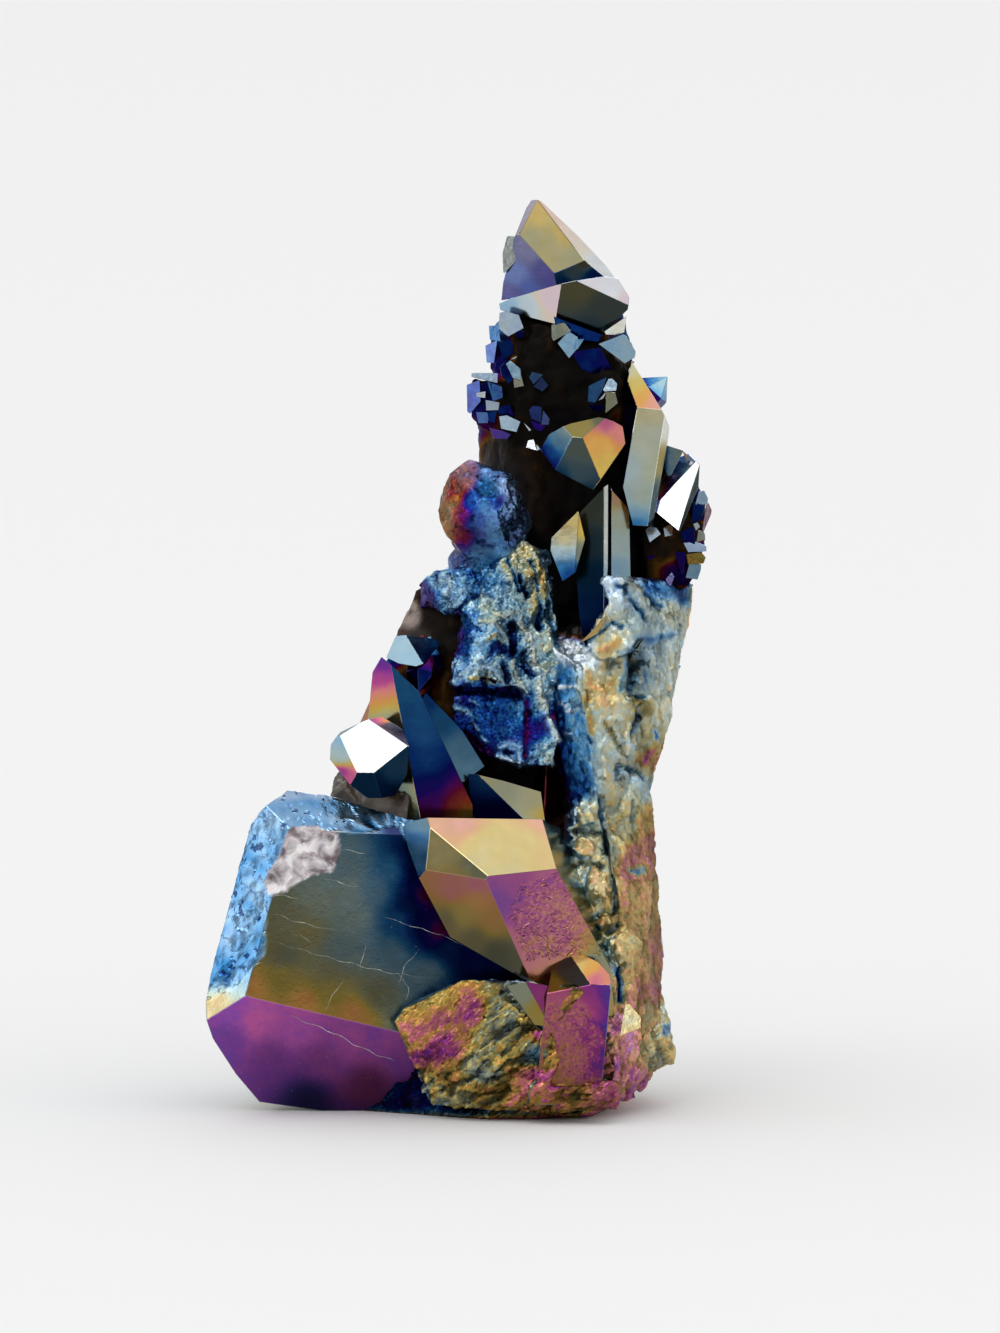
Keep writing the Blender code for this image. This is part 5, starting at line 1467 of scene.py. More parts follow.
def rockPaint(rock, sheet, sky, relief):
    # brushes blend into one another, then the patterns that the whole rock shares are laid over them
    rows = padded(rock["brushes"], 6)
    away2 = (sheet[:, 0:1] - rows[:, 0]) ** 2 + (sheet[:, 1:2] - rows[:, 1]) ** 2
    weight = np.exp(-away2 / (2 * (weather["brushCore"] * rows[:, 2]) ** 2)) + 1e-6 / (away2 + 1.0)
    weight /= weight.sum(axis=1, keepdims=True)
    film, shade, milk = (weight @ rows[:, 3:]).T
    if "behind" in rock:
        # round the sides and the back the colours drift in wide clouds
        start, cloudFilm, cloudShade = rock["behind"]
        share = spread((sheet[:, 2] - start) / weather["fadeBack"])
        clouds = cloudFilm + weather["cloudFilm"] * softNoise(sheet, weather["cloudSize"], 33, 2)
        dull = cloudShade * (1 + weather["dullShade"] * softNoise(sheet, weather["dullSize"], 34, 2))
        film = film + (clouds - film) * share
        shade = shade + (dull - shade) * share
        milk = milk * (1 - share)
    if "flow" in rock:
        size, angle, stretch, nanometres = rock["flow"]
        film = film + nanometres * softNoise(turned(sheet, angle, stretch), size, 35, 3)
    film = film + rock["mottle"] * softNoise(sheet, weather["mottleSize"], 31, 4)
    film = film + rock["ridgeFilm"] * relief
    # ridges lighter and hollows darker, and ridges paler: painted light and shade that follow the relief
    shade = shade * np.clip(1 + rock["reliefShadePaint"] * relief, 0.15, 2.2)
    milk = np.clip(milk + rock["ridgeHighlightPaint"] * np.clip(relief - 0.35, 0, 1), 0, 0.85)
    # sheltered places get a thinner film and painted shade
    held = rock["tuck"] * (1 - spread(sky * weather["openSky"]))
    film = film * (1 - held)
    shade = shade * (1 - weather["recessShadePaint"] * held)
    return np.clip(film, 0, farEnd), np.clip(shade, 0.02, 1), milk


def carveRock(rock):
    # fuses the lumps, carves the skin, then paints it
    shape = bmesh.new()
    for name in rock["blocks"]:
        hullInto(shape, [at(*corner) for corner in rockBlocks[name]])
    mesh = fused(rock["name"], shape, rock["voxel"])
    spots = readArray(mesh.vertices, "co", 3)
    normals = readArray(mesh.vertices, "normal", 3)
    sheet = spots @ sheetAxes.T
    height, relief = np.zeros(len(spots)), np.zeros(len(spots))
    for number, (pattern, size, depth, angle, stretch) in enumerate(rock["carving"]):
        place = turned(sheet, angle, stretch)
        if pattern == "chips":
            rise, edge = chips(place, size, 40 + number)
            rise = rise / size * 2.0 - 0.5 * np.exp(-edge / (weather["chipRim"] * size))
        else:
            rise = softNoise(place, size, 60 + number, 3)
        height += rise * depth
        relief += rise * depth
    for x, high, radius, depth in rock.get("hollows", ()):
        gap = np.hypot((sheet[:, 0] - x) * 1.6, (sheet[:, 1] - high) * 0.8) / radius
        gap = gap + 0.3 * softNoise(sheet, 1.0, 77, 2)
        sink = spread(1.35 - gap) * (sheet[:, 2] < 0)
        height -= sink * depth
        # the dent lowers the relief too, so it is painted darker as shade
        relief -= sink * depth * 0.6
    for outline in rock.get("calm", ()):
        rest = spread((distanceInside(outline, sheet) + 0.3) / 0.8)
        height *= 1 - (1 - weather["restLeft"]) * rest
        relief *= 1 - (1 - weather["restLeft"]) * rest
    relief = np.clip(relief / (np.abs(relief).mean() * 2.2 + 1e-6), -1, 1)
    film, shade, milk = rockPaint(rock, sheet, openness(spots, normals), relief)
    wander = weather["wander"] * softNoise(sheet, 0.9, 88, 2)
    for line, width, lift, markFilm, markShade, markMilkAndGlare in rock.get("marks", ()):
        share = np.exp(-((nearLine(line, sheet) + wander) / width) ** 2) * (sheet[:, 2] < 0)
        height += lift * share
        film = film + (markFilm - film) * share
        # the mark's shade follows the relief as well: painted shade in cut lines, painted light on raised
        # ones
        shade = shade + (markShade * (1 + 0.35 * relief) - shade) * share
        milk = milk + (markMilkAndGlare - milk) * share
    shade = np.clip(shade, 0.01, 1)
    film = np.clip(film, 0, farEnd)
    milk = np.clip(milk, 0, 0.9)
    flat = spread(spots[:, 2] / weather["groundBand"])  # the ground base stays flat
    spots = spots + normals * ((height - rock["sink"]) * flat)[:, None]
    spots[:, 2] = np.maximum(spots[:, 2], 0.0)
    mesh.vertices.foreach_set("co", spots.ravel())
    writeAttributes(mesh, "POINT", film=film / thickest, shade=shade, milk=milk)
    mesh.update()
    return mesh


# brushes of a rock are (x, height, radius, nanometres, shade, milk and glare): the shade is mostly painted
# shade, the paling partly painted highlight
# hollows are (x, height, radius, depth): dents worn into the front, which the relief then paints darker as
# shade
# carving is (pattern, size in mm, depth in mm, turn, squeeze along x, height and depth)
pillarRock = {
    "name": "pillarRock",
    "blocks": (
        "lowerPillar", "pillar", "pillarLip", "stripWall", "collarTop", "collarLow", "goldLump0",
        "goldLump1", "goldLump2", "goldLump3", "goldLump4", "goldLump5",
    ),
    "voxel": 0.225, "sink": 0.12,
    "carving": [
        ("swell", 5, 0.3, 8, (1, 0.45, 1)), ("chips", 3.2, 0.2, 8, (1, 0.5, 1)),
        ("chips", 1.3, 0.13, 12, (1, 0.5, 1)), ("swell", 0.8, 0.1, 8, (1, 0.5, 1)),
        ("chips", 0.55, 0.05, 0, (1, 1, 1)),
    ],
    "hollows": [
        (17, 44.6, 1.5, 0.9), (16.6, 41.6, 1.4, 0.6), (17.2, 39.6, 1, 0.7), (16.2, 34, 1, 0.4),
        (14.6, 24, 1.2, 0.6), (15, 19, 1.1, 0.6),
    ],
    "brushes": [
        (14, 51, 2, 112, 0.84, 0.36), (18.8, 51.4, 1.1, 85, 0.54), (21.2, 51.2, 1, 79, 0.49),
        (14.5, 48, 2, 126, 0.6, 0.16), (17, 48.6, 2, 121, 0.67, 0.16), (19.8, 48.6, 1.6, 120, 0.72, 0.21),
        (9.6, 45.4, 1.2, 109, 0.97, 0.5), (11.4, 44.6, 1.1, 111, 0.97, 0.5), (9.8, 47.6, 0.8, 14, 0.03),
        (11, 47.4, 0.7, 14, 0.03), (13, 41.6, 1.7, 137, 0.72, 0.16), (14.4, 43.6, 1.6, 130, 0.72, 0.16),
        (9.2, 42.5, 1.5, 95, 0.6), (9.9, 39, 1.8, 101, 0.6), (10.4, 36, 1.8, 95, 0.51),
        (11, 32.4, 1.6, 91, 0.51), (11.5, 29, 1.1, 132, 0.85, 0.16), (11.2, 25.8, 1.1, 136, 0.92, 0.16),
        (16.2, 45.6, 1.6, 116, 0.72, 0.21), (18.6, 46, 2, 119, 0.75, 0.26), (19.6, 43, 2, 122, 0.72, 0.21),
        (17, 43, 1.2, 103, 0.3), (19.4, 39, 2, 124, 0.71, 0.21), (14.6, 37, 2, 125, 0.71, 0.21),
        (16.8, 38, 1.4, 130, 0.39, 0.06), (18.6, 36.4, 1.5, 132, 0.58, 0.06),
        (19, 34.5, 1.5, 146, 0.52, 0.06), (14.6, 33, 2, 126, 0.71, 0.21), (17, 31.6, 1.5, 116, 0.65, 0.16),
        (15.2, 28.6, 1.8, 133, 0.71, 0.11), (18, 28.6, 1.6, 138, 0.57, 0.06),
        (18.8, 26, 1.5, 153, 0.58, 0.11), (16.8, 24.6, 1.3, 157, 0.62, 0.11),
        (17.2, 23.6, 0.45, 94, 0.53, 0.05), (14.2, 25.4, 1.2, 131, 0.77, 0.11),
        (12.8, 21.8, 1.2, 134, 0.92, 0.16), (13.2, 18.4, 1, 142, 0.85, 0.11),
        (15.2, 15.6, 1.7, 134, 0.77, 0.14), (17.4, 19.5, 2, 143, 0.64, 0.11),
        (19, 15.5, 2, 153, 0.58, 0.11), (17.4, 14, 1.6, 139, 0.64, 0.11), (15.5, 10.5, 2, 145, 0.62, 0.11),
        (19, 11, 2, 159, 0.54, 0.11), (15.6, 8.4, 1.3, 156, 0.84, 0.1), (18.2, 9.4, 1, 130, 0.94, 0.15),
        (17.4, 7, 1, 144, 0.82, 0.1),
    ],
    # lines cut or raised: points, width, lift in mm, nanometres, shade, milk and glare. Cut lines are mostly
    # painted dark as shade in the crack, raised ones pale as a painted highlight
    "marks": [
        ([(13.1, 52.2), (14.3, 52.3), (15.5, 52.4)], 0.6, 0.35, 110, 0.95, 0.5),
        ([(13.6, 51.4), (14.8, 50.7), (15.8, 50)], 0.6, 0.1, 112, 0.85, 0.4),
        ([(14.7, 51.8), (15.4, 51.6), (15.7, 51)], 0.22, -0.3, 96, 0.15, 0),
        ([(15.8, 52.4), (16.7, 51.6), (17.6, 50.4)], 0.3, 0.2, 122, 0.55, 0.2),
        ([(16, 50.4), (17, 49.2), (17.6, 48.4)], 0.25, -0.35, 96, 0.2, 0),
        ([(17.5, 51), (18.2, 50.2), (19.1, 49.7)], 0.2, -0.3, 90, 0.15, 0),
        ([(7.9, 46), (9.2, 45.1), (10.7, 44.4), (11.8, 43.4)], 0.7, 0.35, 112, 1, 0.6),
        ([(9.2, 46.1), (11, 45.5), (12.5, 44.4)], 0.5, 0.2, 114, 0.95, 0.6),
        ([(11.4, 46.1), (13, 47.2), (14.2, 48.2), (15.2, 47.6)], 0.25, -0.35, 96, 0.15, 0),
        ([(7.5, 45.4), (7.9, 42.9), (8.4, 40.4)], 0.4, 0, 92, 0.5, 0),
        ([(8.8, 41.7), (9.8, 41.8), (10.8, 41.6)], 0.16, 0.1, 112, 0.95, 0.7),
        ([(8.9, 40.1), (9.5, 39.8)], 0.22, 0.1, 112, 0.9, 0.7),
        ([(9.6, 39.3), (10.7, 39.4)], 0.14, 0.1, 112, 0.8, 0.6),
        ([(9.2, 37.2), (10.1, 36.9)], 0.16, 0, 104, 0.7, 0.4),
        ([(13, 45.2), (14.2, 45.8), (14.8, 46.4)], 0.5, 0.1, 143, 0.62, 0.1),
        ([(11.8, 43.2), (12.3, 41.6), (13.4, 41.4), (14.2, 42.2)], 0.45, 0.1, 144, 0.62, 0.1),
        ([(11.6, 40.4), (12, 38.4), (12.2, 37.2)], 0.4, 0, 142, 0.5, 0.1),
        ([(16.4, 45.6), (15.7, 43.9), (15, 41.4)], 0.3, -0.2, 94, 0.45, 0),
        ([(16.7, 44.9), (16.4, 43.2), (15.9, 41.8)], 0.75, -0.9, 102, 0.18, 0),
        ([(17.1, 45.4), (17.3, 43.2), (17.1, 41.6)], 0.25, 0.1, 120, 0.4, 0.1),
        ([(16, 40.2), (16.6, 40.6), (17.6, 40.1), (17.8, 39)], 0.4, 0.35, 134, 0.34, 0),
        ([(17, 38.8), (16.6, 37.8), (16.2, 37)], 0.35, -0.6, 104, 0.07, 0),
        ([(16.8, 40.8), (17.5, 40.7)], 0.2, -0.3, 90, 0.08, 0),
        ([(18.5, 37.3), (18.7, 36.6)], 0.2, 0, 86, 0.5, 0.1),
        ([(15.9, 36.2), (16.4, 35.6)], 0.2, 0, 104, 0.8, 0.5),
        ([(13.4, 38.2), (14.6, 36.2), (15.8, 34.4)], 0.13, -0.2, 130, 0.2, 0),
        ([(11.8, 36.6), (12.2, 36.2)], 0.2, -0.3, 90, 0.08, 0),
        ([(14.6, 32.4), (14.7, 33.9), (15.6, 33.6), (16.6, 33.4), (17.5, 32.5)], 0.22, -0.6, 96, 0.06, 0),
        ([(15.2, 32.9), (16.4, 32.6), (17, 32)], 0.6, 0.25, 112, 0.6, 0.2),
        ([(17, 46.6), (18.5, 46.4), (20.2, 47)], 0.4, 0, 98, 0.6, 0.1),
        ([(18.2, 35.2), (17.6, 34.4)], 0.4, 0, 160, 0.45, 0.1),
        ([(13.1, 30.4), (13.4, 27.2), (13.6, 25.4)], 0.3, -0.5, 100, 0.06, 0),
        ([(16.2, 30.4), (16.3, 28.4), (16.4, 26.6)], 0.16, -0.2, 120, 0.2, 0),
        ([(9.8, 27.2), (11.2, 27.4), (12.8, 27.2)], 0.2, -0.5, 116, 0.1, 0),
        ([(10.8, 24.1), (12, 24.2), (13.2, 23.8)], 0.2, -0.5, 120, 0.1, 0),
        ([(13.4, 27.4), (14, 25), (14.4, 22.4), (14.4, 19.6)], 0.3, -0.7, 110, 0.08, 0),
        ([(12.4, 18.9), (13.4, 19.6), (14.2, 19.2)], 0.2, -0.4, 130, 0.12, 0),
        ([(13.6, 17.2), (14.4, 17.8), (15.4, 18.2)], 0.2, -0.4, 120, 0.12, 0),
        ([(16, 23.6), (16.8, 23.2)], 0.22, 0, 96, 0.45, 0.1),
        ([(14.7, 13.4), (15.1, 12.2), (15.1, 10.6)], 0.32, -0.9, 60, 0.03, 0),
    ],
    "mottle": 7, "ridgeFilm": 5, "reliefShadePaint": 0.4, "ridgeHighlightPaint": 0.1, "tuck": 0.3,
    "calm": [[(7.4, 45.2), (10.4, 43.4), (12, 37), (13, 30.6), (11.2, 30.8), (9.2, 33), (8.2, 40)]],
    "behind": (-3.6, 134, 0.48),
}

cleavedRock = {
    "name": "cleavedRock",
    "blocks": ("cleavedMass", "cleavedLedge", "leftLobe"),
    "voxel": 0.17, "sink": 0.2,
    "carving": [
        ("swell", 4, 0.45, -20, (1, 0.6, 1)), ("chips", 2.6, 0.36, -25, (1, 0.6, 1)),
        ("chips", 1, 0.14, -25, (1, 0.55, 1)), ("swell", 0.7, 0.06, -20, (1, 0.6, 1)),
        ("chips", 0.45, 0.035, 0, (1, 1, 1)),
    ],
    "hollows": [(3.4, 47, 1.4, 0.8), (6.9, 48.6, 0.9, 0.8), (8, 49, 0.6, 0.6), (5.2, 44.6, 0.9, 0.6)],
    "brushes": [
        (5.4, 54, 1.8, 124, 0.62, 0.05), (7.2, 52.4, 1.5, 134, 0.62, 0.03), (7.4, 49.6, 1.4, 132, 0.64),
        (4.4, 51.4, 1.6, 112, 0.57, 0.05), (1.6, 52, 1.6, 92, 0.57), (2, 50.4, 1.5, 108, 0.69, 0.05),
        (-2.2, 52, 1.7, 98, 0.75, 0.05), (-1.6, 50.4, 1.2, 108, 0.82, 0.1), (-4.6, 50.6, 1.1, 66, 0.5),
        (4.8, 47.6, 1.6, 114, 0.72, 0.05), (3, 45.8, 1.4, 82, 0.49), (8, 46, 1.2, 114, 0.63),
        (0.8, 46.6, 1.4, 100, 0.86, 0.05), (0.2, 48, 1.2, 80, 0.62), (-0.8, 46, 1, 68, 0.52),
        (2.6, 43.4, 1.4, 122, 0.95, 0.1), (-0.4, 43.8, 1, 102, 1, 0.15), (1, 44.4, 1, 108, 1, 0.15),
        (5.6, 43.2, 1.3, 108, 0.79, 0.05), (2.4, 40.4, 2, 86, 0.52), (-0.6, 40.6, 1.2, 68, 0.52),
        (5, 39.4, 1.8, 88, 0.52), (2.6, 37.4, 1.8, 84, 0.49), (6.4, 37, 1.5, 72, 0.52),
        (7.6, 38, 0.8, 54, 0.49), (4.6, 34.8, 1.2, 100, 1, 0.15), (7.6, 35.4, 1.2, 108, 0.79),
        (7.9, 41.5, 1.2, 108, 0.72), (8.2, 43.8, 1, 116, 0.72), (0.6, 36, 1.4, 80, 0.44),
    ],
    # cut lines painted dark as shade in the crack, raised ones pale as a painted highlight
    "marks": [
        (
            [(4.9, 48.2), (5.8, 47), (6.4, 44.9), (6.8, 42.4), (7.1, 40.4), (7.8, 38.6), (8.6, 36.4)],
            0.36, 0.5, 124, 0.9, 0.4,
        ),
        ([(4.4, 44.2), (4.8, 42.8), (5.4, 41.2)], 0.45, 0.5, 120, 0.76, 0.25),
        ([(-1.4, 42.2), (-0.5, 43.2), (0.8, 43.8), (2.2, 43.6), (3, 42.8)], 0.42, 0.6, 105, 0.8, 0.2),
        ([(3, 42.4), (3.8, 42), (4.5, 42)], 0.25, 0.4, 110, 0.72, 0.2),
        ([(0.2, 42.5), (1.5, 42.7), (2.5, 42.2)], 0.25, 0.1, 140, 0.48, 0),
        ([(1, 51.2), (1.6, 50), (2.4, 49.1), (3.6, 48.7), (4.3, 49.2)], 0.25, 0.3, 122, 0.68, 0.17),
        ([(1.2, 48.2), (2.4, 48.2), (3.4, 47.4), (4, 46.2)], 0.32, 0.4, 122, 0.68, 0.17),
        ([(1.8, 46.4), (2.6, 47), (3.2, 46.4)], 0.25, 0.2, 130, 0.48, 0.1),
        ([(2.6, 44.8), (3.5, 44.8)], 0.3, 0.3, 112, 0.64, 0.15),
        ([(-4, 50.2), (-2.5, 49.3), (-1.2, 48.5), (-0.2, 48.4)], 0.25, 0.1, 96, 0.3, 0),
        ([(-3.8, 52), (-2.6, 52.9), (-1.8, 52.1), (-2.4, 51.2)], 0.5, 0.2, 106, 0.76, 0.17),
        ([(-1.8, 50.4), (-0.6, 51.2), (0, 52.1)], 0.25, 0.2, 100, 0.64, 0.1),
        ([(-5, 52), (-4.6, 50.4), (-3.8, 49.4)], 0.6, 0, 63, 0.48, 0.12),
        ([(5, 52.9), (5.3, 51.9), (5.8, 50.9)], 0.2, -0.6, 72, 0.14, 0),
        ([(3.7, 54.4), (4.4, 53), (5, 51.4)], 0.13, -0.4, 84, 0.14, 0),
        ([(6, 54.4), (6.7, 52.9), (6.8, 51.2)], 0.1, -0.3, 90, 0.15, 0),
        ([(4.4, 48.2), (4.5, 46.8), (4.4, 45.2)], 0.36, -1, 70, 0.14, 0),
        ([(3.4, 44.2), (3.7, 43.2), (3.8, 42.2)], 0.25, -0.8, 66, 0.14, 0),
        ([(5.4, 44.4), (5.9, 43.6), (6.3, 42.8)], 0.3, -0.7, 72, 0.14, 0),
        ([(7, 50.6), (7.4, 49.2), (7.1, 47.6)], 0.3, -0.8, 76, 0.14, 0),
        ([(0.8, 51.2), (-0.4, 50.2), (-1.2, 49.2)], 0.22, -0.6, 76, 0.14, 0),
        ([(-1.4, 41.2), (0.8, 41.3), (3, 41.1), (5, 41)], 0.36, -0.7, 70, 0.14, 0),
        ([(5.7, 40.2), (5.8, 37.6), (5.6, 34.6)], 0.3, -0.5, 53, 0.26, 0),
        ([(7.5, 54.8), (8.1, 52.4), (8.7, 49.4), (9, 46.2)], 0.14, 0.3, 110, 0.64, 0.15),
        ([(7.8, 50.4), (8.2, 47.9), (8.6, 45.9)], 0.25, -0.2, 92, 0.25, 0),
        ([(2.6, 34.8), (3.6, 34.5), (5, 34)], 0.25, 0.5, 108, 0.8, 0.35),
        ([(3, 35.7), (4, 36.1), (5, 35.6)], 0.3, 0.4, 102, 0.72, 0.2),
        ([(3.5, 35.2), (4.4, 35.1)], 0.2, -0.4, 70, 0.14, 0),
        ([(6.6, 35.8), (7.4, 36.2), (8.2, 35.8)], 0.2, 0.3, 100, 0.64, 0.15),
        ([(7, 35.1), (8.1, 35)], 0.12, 0.2, 116, 0.76, 0.35),
        ([(8.1, 34.4), (8.4, 33), (9, 31.6)], 0.3, 0.2, 118, 0.36, 0.1),
        ([(-2.2, 40), (-1.2, 39.6), (-0.2, 39.2)], 0.35, 0.1, 104, 0.48, 0.1),
        ([(0.2, 38.2), (0.8, 37.4)], 0.1, 0.1, 106, 0.64, 0.15),
        ([(1, 36.8), (1.6, 36.2)], 0.1, 0.1, 106, 0.56, 0.15),
        ([(0, 40.4), (0.8, 39.9)], 0.1, 0.1, 106, 0.56, 0.15),
        ([(-0.6, 49), (-0.2, 46.4), (-0.4, 44.4)], 0.4, 0, 82, 0.32, 0),
    ],
    "mottle": 8, "ridgeFilm": 12, "reliefShadePaint": 0.45, "ridgeHighlightPaint": 0.12, "tuck": 0.25,
    # one cleavage face that stayed smooth
    "calm": [
        [
            (-1.8, 39.9), (0.2, 40.6), (5, 40.4), (6.6, 38.6), (7.4, 36.4), (5.4, 34.8), (2.4, 34.9),
            (-0.4, 37),
        ],
    ],
}

bulbRock = {
    "name": "bulbRock",
    "blocks": ("bulb", "bulbRoot"),
    "voxel": 0.17, "sink": 0.05,
    "carving": [
        ("swell", 3.4, 0.6, 0, (1, 1, 1)), ("swell", 1.5, 0.16, 0, (1, 1, 1)),
        ("swell", 0.6, 0.03, 0, (1, 1, 1)),
    ],
    "brushes": [
        (-2.8, 59.4, 1.3, 37, 0.57, 0.1), (-2.6, 56.8, 1.2, 37, 0.52, 0.1), (-1.8, 61.2, 1.1, 43, 0.52),
        (-0.9, 58.6, 0.9, 48, 0.56), (-0.6, 56.4, 1, 51, 0.47), (-0.4, 62.8, 1, 47, 0.56, 0.2),
        (0.5, 60, 0.9, 80, 0.71), (0.6, 57.6, 0.9, 84, 0.71, 0.05), (1.6, 61.6, 0.8, 89, 0.41),
        (1.6, 59.2, 0.9, 89, 0.71, 0.06), (1.6, 57.2, 0.9, 89, 0.71, 0.1), (2.6, 60.2, 0.7, 74, 0.65),
        (3, 58.2, 1, 89, 0.75, 0.12), (4.4, 59.6, 0.9, 89, 0.98, 0.2), (3.8, 61.8, 0.9, 89, 1, 0.22),
        (2.4, 63.4, 1, 87, 0.71, 0.12), (3.4, 55.8, 1.2, 92, 0.63, 0.08), (4.8, 57, 1, 92, 0.8, 0.16),
        (0.8, 55.2, 1, 92, 0.59, 0.1), (2.2, 61, 0.6, 89, 0.18), (2, 53.2, 1.3, 92, 0.29),
        (-2, 54.4, 1.3, 80, 0.57, 0.1), (-1.4, 53, 1.2, 92, 0.52, 0.1), (4, 52, 1.4, 92, 0.35),
    ],
    "mottle": 5, "ridgeFilm": 4, "reliefShadePaint": 0.5, "ridgeHighlightPaint": 0.1, "tuck": 0,
}

neckRock = {
    "name": "neckRock",
    "blocks": ("spine", "neck", "crownRoot", "leftRecess", "edgeLump", "leftLump", "upperLump"),
    "voxel": 0.45, "sink": 0.1,
    "carving": [
        ("swell", 4.5, 0.45, 10, (1, 0.6, 1)), ("chips", 3, 0.3, 10, (1, 0.6, 1)),
        ("chips", 1.3, 0.12, 0, (1, 1, 1)),
    ],
    # the near-black shades in the hollow under the crown are painted shade
    "brushes": [
        (8, 71, 3, 8, 0.1), (12, 74.5, 2.5, 6, 0.08), (5, 66, 2.5, 12, 0.14),
        (2.6, 63.4, 1.8, 10, 0.4, 0.1), (20.5, 63, 1.6, 14, 0.2), (22.8, 60, 1, 78, 0.14),
        (20.5, 56.5, 1.8, 12, 0.2), (23.2, 55, 0.9, 76, 0.12), (21, 53, 1.4, 60, 0.1),
        (0.4, 71, 1.4, 70, 0.2), (1.6, 68, 1.2, 58, 0.2), (2.2, 77, 1.4, 84, 0.25),
        (2, 74.4, 1.2, 64, 0.25), (15.6, 67, 1.2, 70, 0.1), (11, 55.5, 2, 10, 0.1),
        (8.8, 50, 1.5, 8, 0.12), (19, 57.5, 1.6, 18, 0.12), (17, 53.6, 1.3, 44, 0.16),
        (3, 78, 1, 104, 0.6, 0.2), (6, 77.4, 1.6, 12, 0.1), (10, 77.4, 1.6, 14, 0.1),
        (12.6, 77.6, 1.4, 20, 0.1), (15.6, 76.6, 1.5, 100, 0.3, 0.1), (-1.5, 47, 1.8, 10, 0.25),
        (-4, 48.4, 0.8, 10, 0.2), (-5.9, 48.6, 0.6, 26, 0.6, 0.4), (-5.4, 46.4, 1, 16, 0.4, 0.1),
        (-2, 43.4, 1.2, 44, 0.22), (-1.2, 41.4, 1.1, 56, 0.25), (-7, 41, 2, 84, 0.4),
        (-9, 38, 1.5, 120, 0.5), (6, 30, 2, 10, 0.2), (10, 30, 2, 8, 0.15), (16, 60, 1.5, 14, 0.2),
        (5, 20, 4, 120, 0.4),
    ],
    "mottle": 6, "ridgeFilm": 4, "reliefShadePaint": 0.5, "ridgeHighlightPaint": 0, "tuck": 0.85,
    "behind": (-0.5, 100, 0.42),
}

footRock = {
    "name": "footRock",
    "blocks": ("foot", "rightFoot", "backSlope"),
    "voxel": 0.37, "sink": 0.12,
    "carving": [
        ("swell", 5, 0.45, 0, (1, 1, 1)), ("chips", 3.2, 0.4, 20, (1, 0.7, 1)),
        ("chips", 1.4, 0.2, 0, (1, 1, 1)), ("swell", 0.9, 0.12, 0, (1, 1, 1)),
    ],
    "brushes": [
        (-3, 3, 3, 166, 0.16), (4, 2, 3, 164, 0.3), (12, 3, 2.5, 156, 0.45),
        (16.4, 6, 1.5, 148, 0.85, 0.13), (15, 9.6, 1.5, 156, 0.88, 0.13),
        (18.6, 8.8, 0.7, 126, 0.94, 0.08), (19.6, 7.4, 0.4, 102, 0.62, 0.08),
        (19.2, 5.4, 1.3, 138, 0.88, 0.13), (17.2, 6.4, 1, 144, 0.94, 0.13), (14.9, 5.4, 0.9, 162, 1, 0.18),
        (14.6, 2.4, 1, 159, 0.81, 0.18), (16, 3.2, 1.6, 160, 0.69, 0.08), (-10, 5, 3, 180, 0.15),
        (-18, 6, 3.5, 172, 0.35), (-16, 15, 4, 98, 0.5), (-6, 18, 4, 126, 0.45), (4, 14, 4, 140, 0.4),
        (12, 16, 4, 150, 0.4), (2, 24, 4, 112, 0.45),
    ],
    "mottle": 14, "ridgeFilm": 10, "reliefShadePaint": 0.6, "ridgeHighlightPaint": 0.2, "tuck": 0.6,
    "behind": (2, 138, 0.45),
}

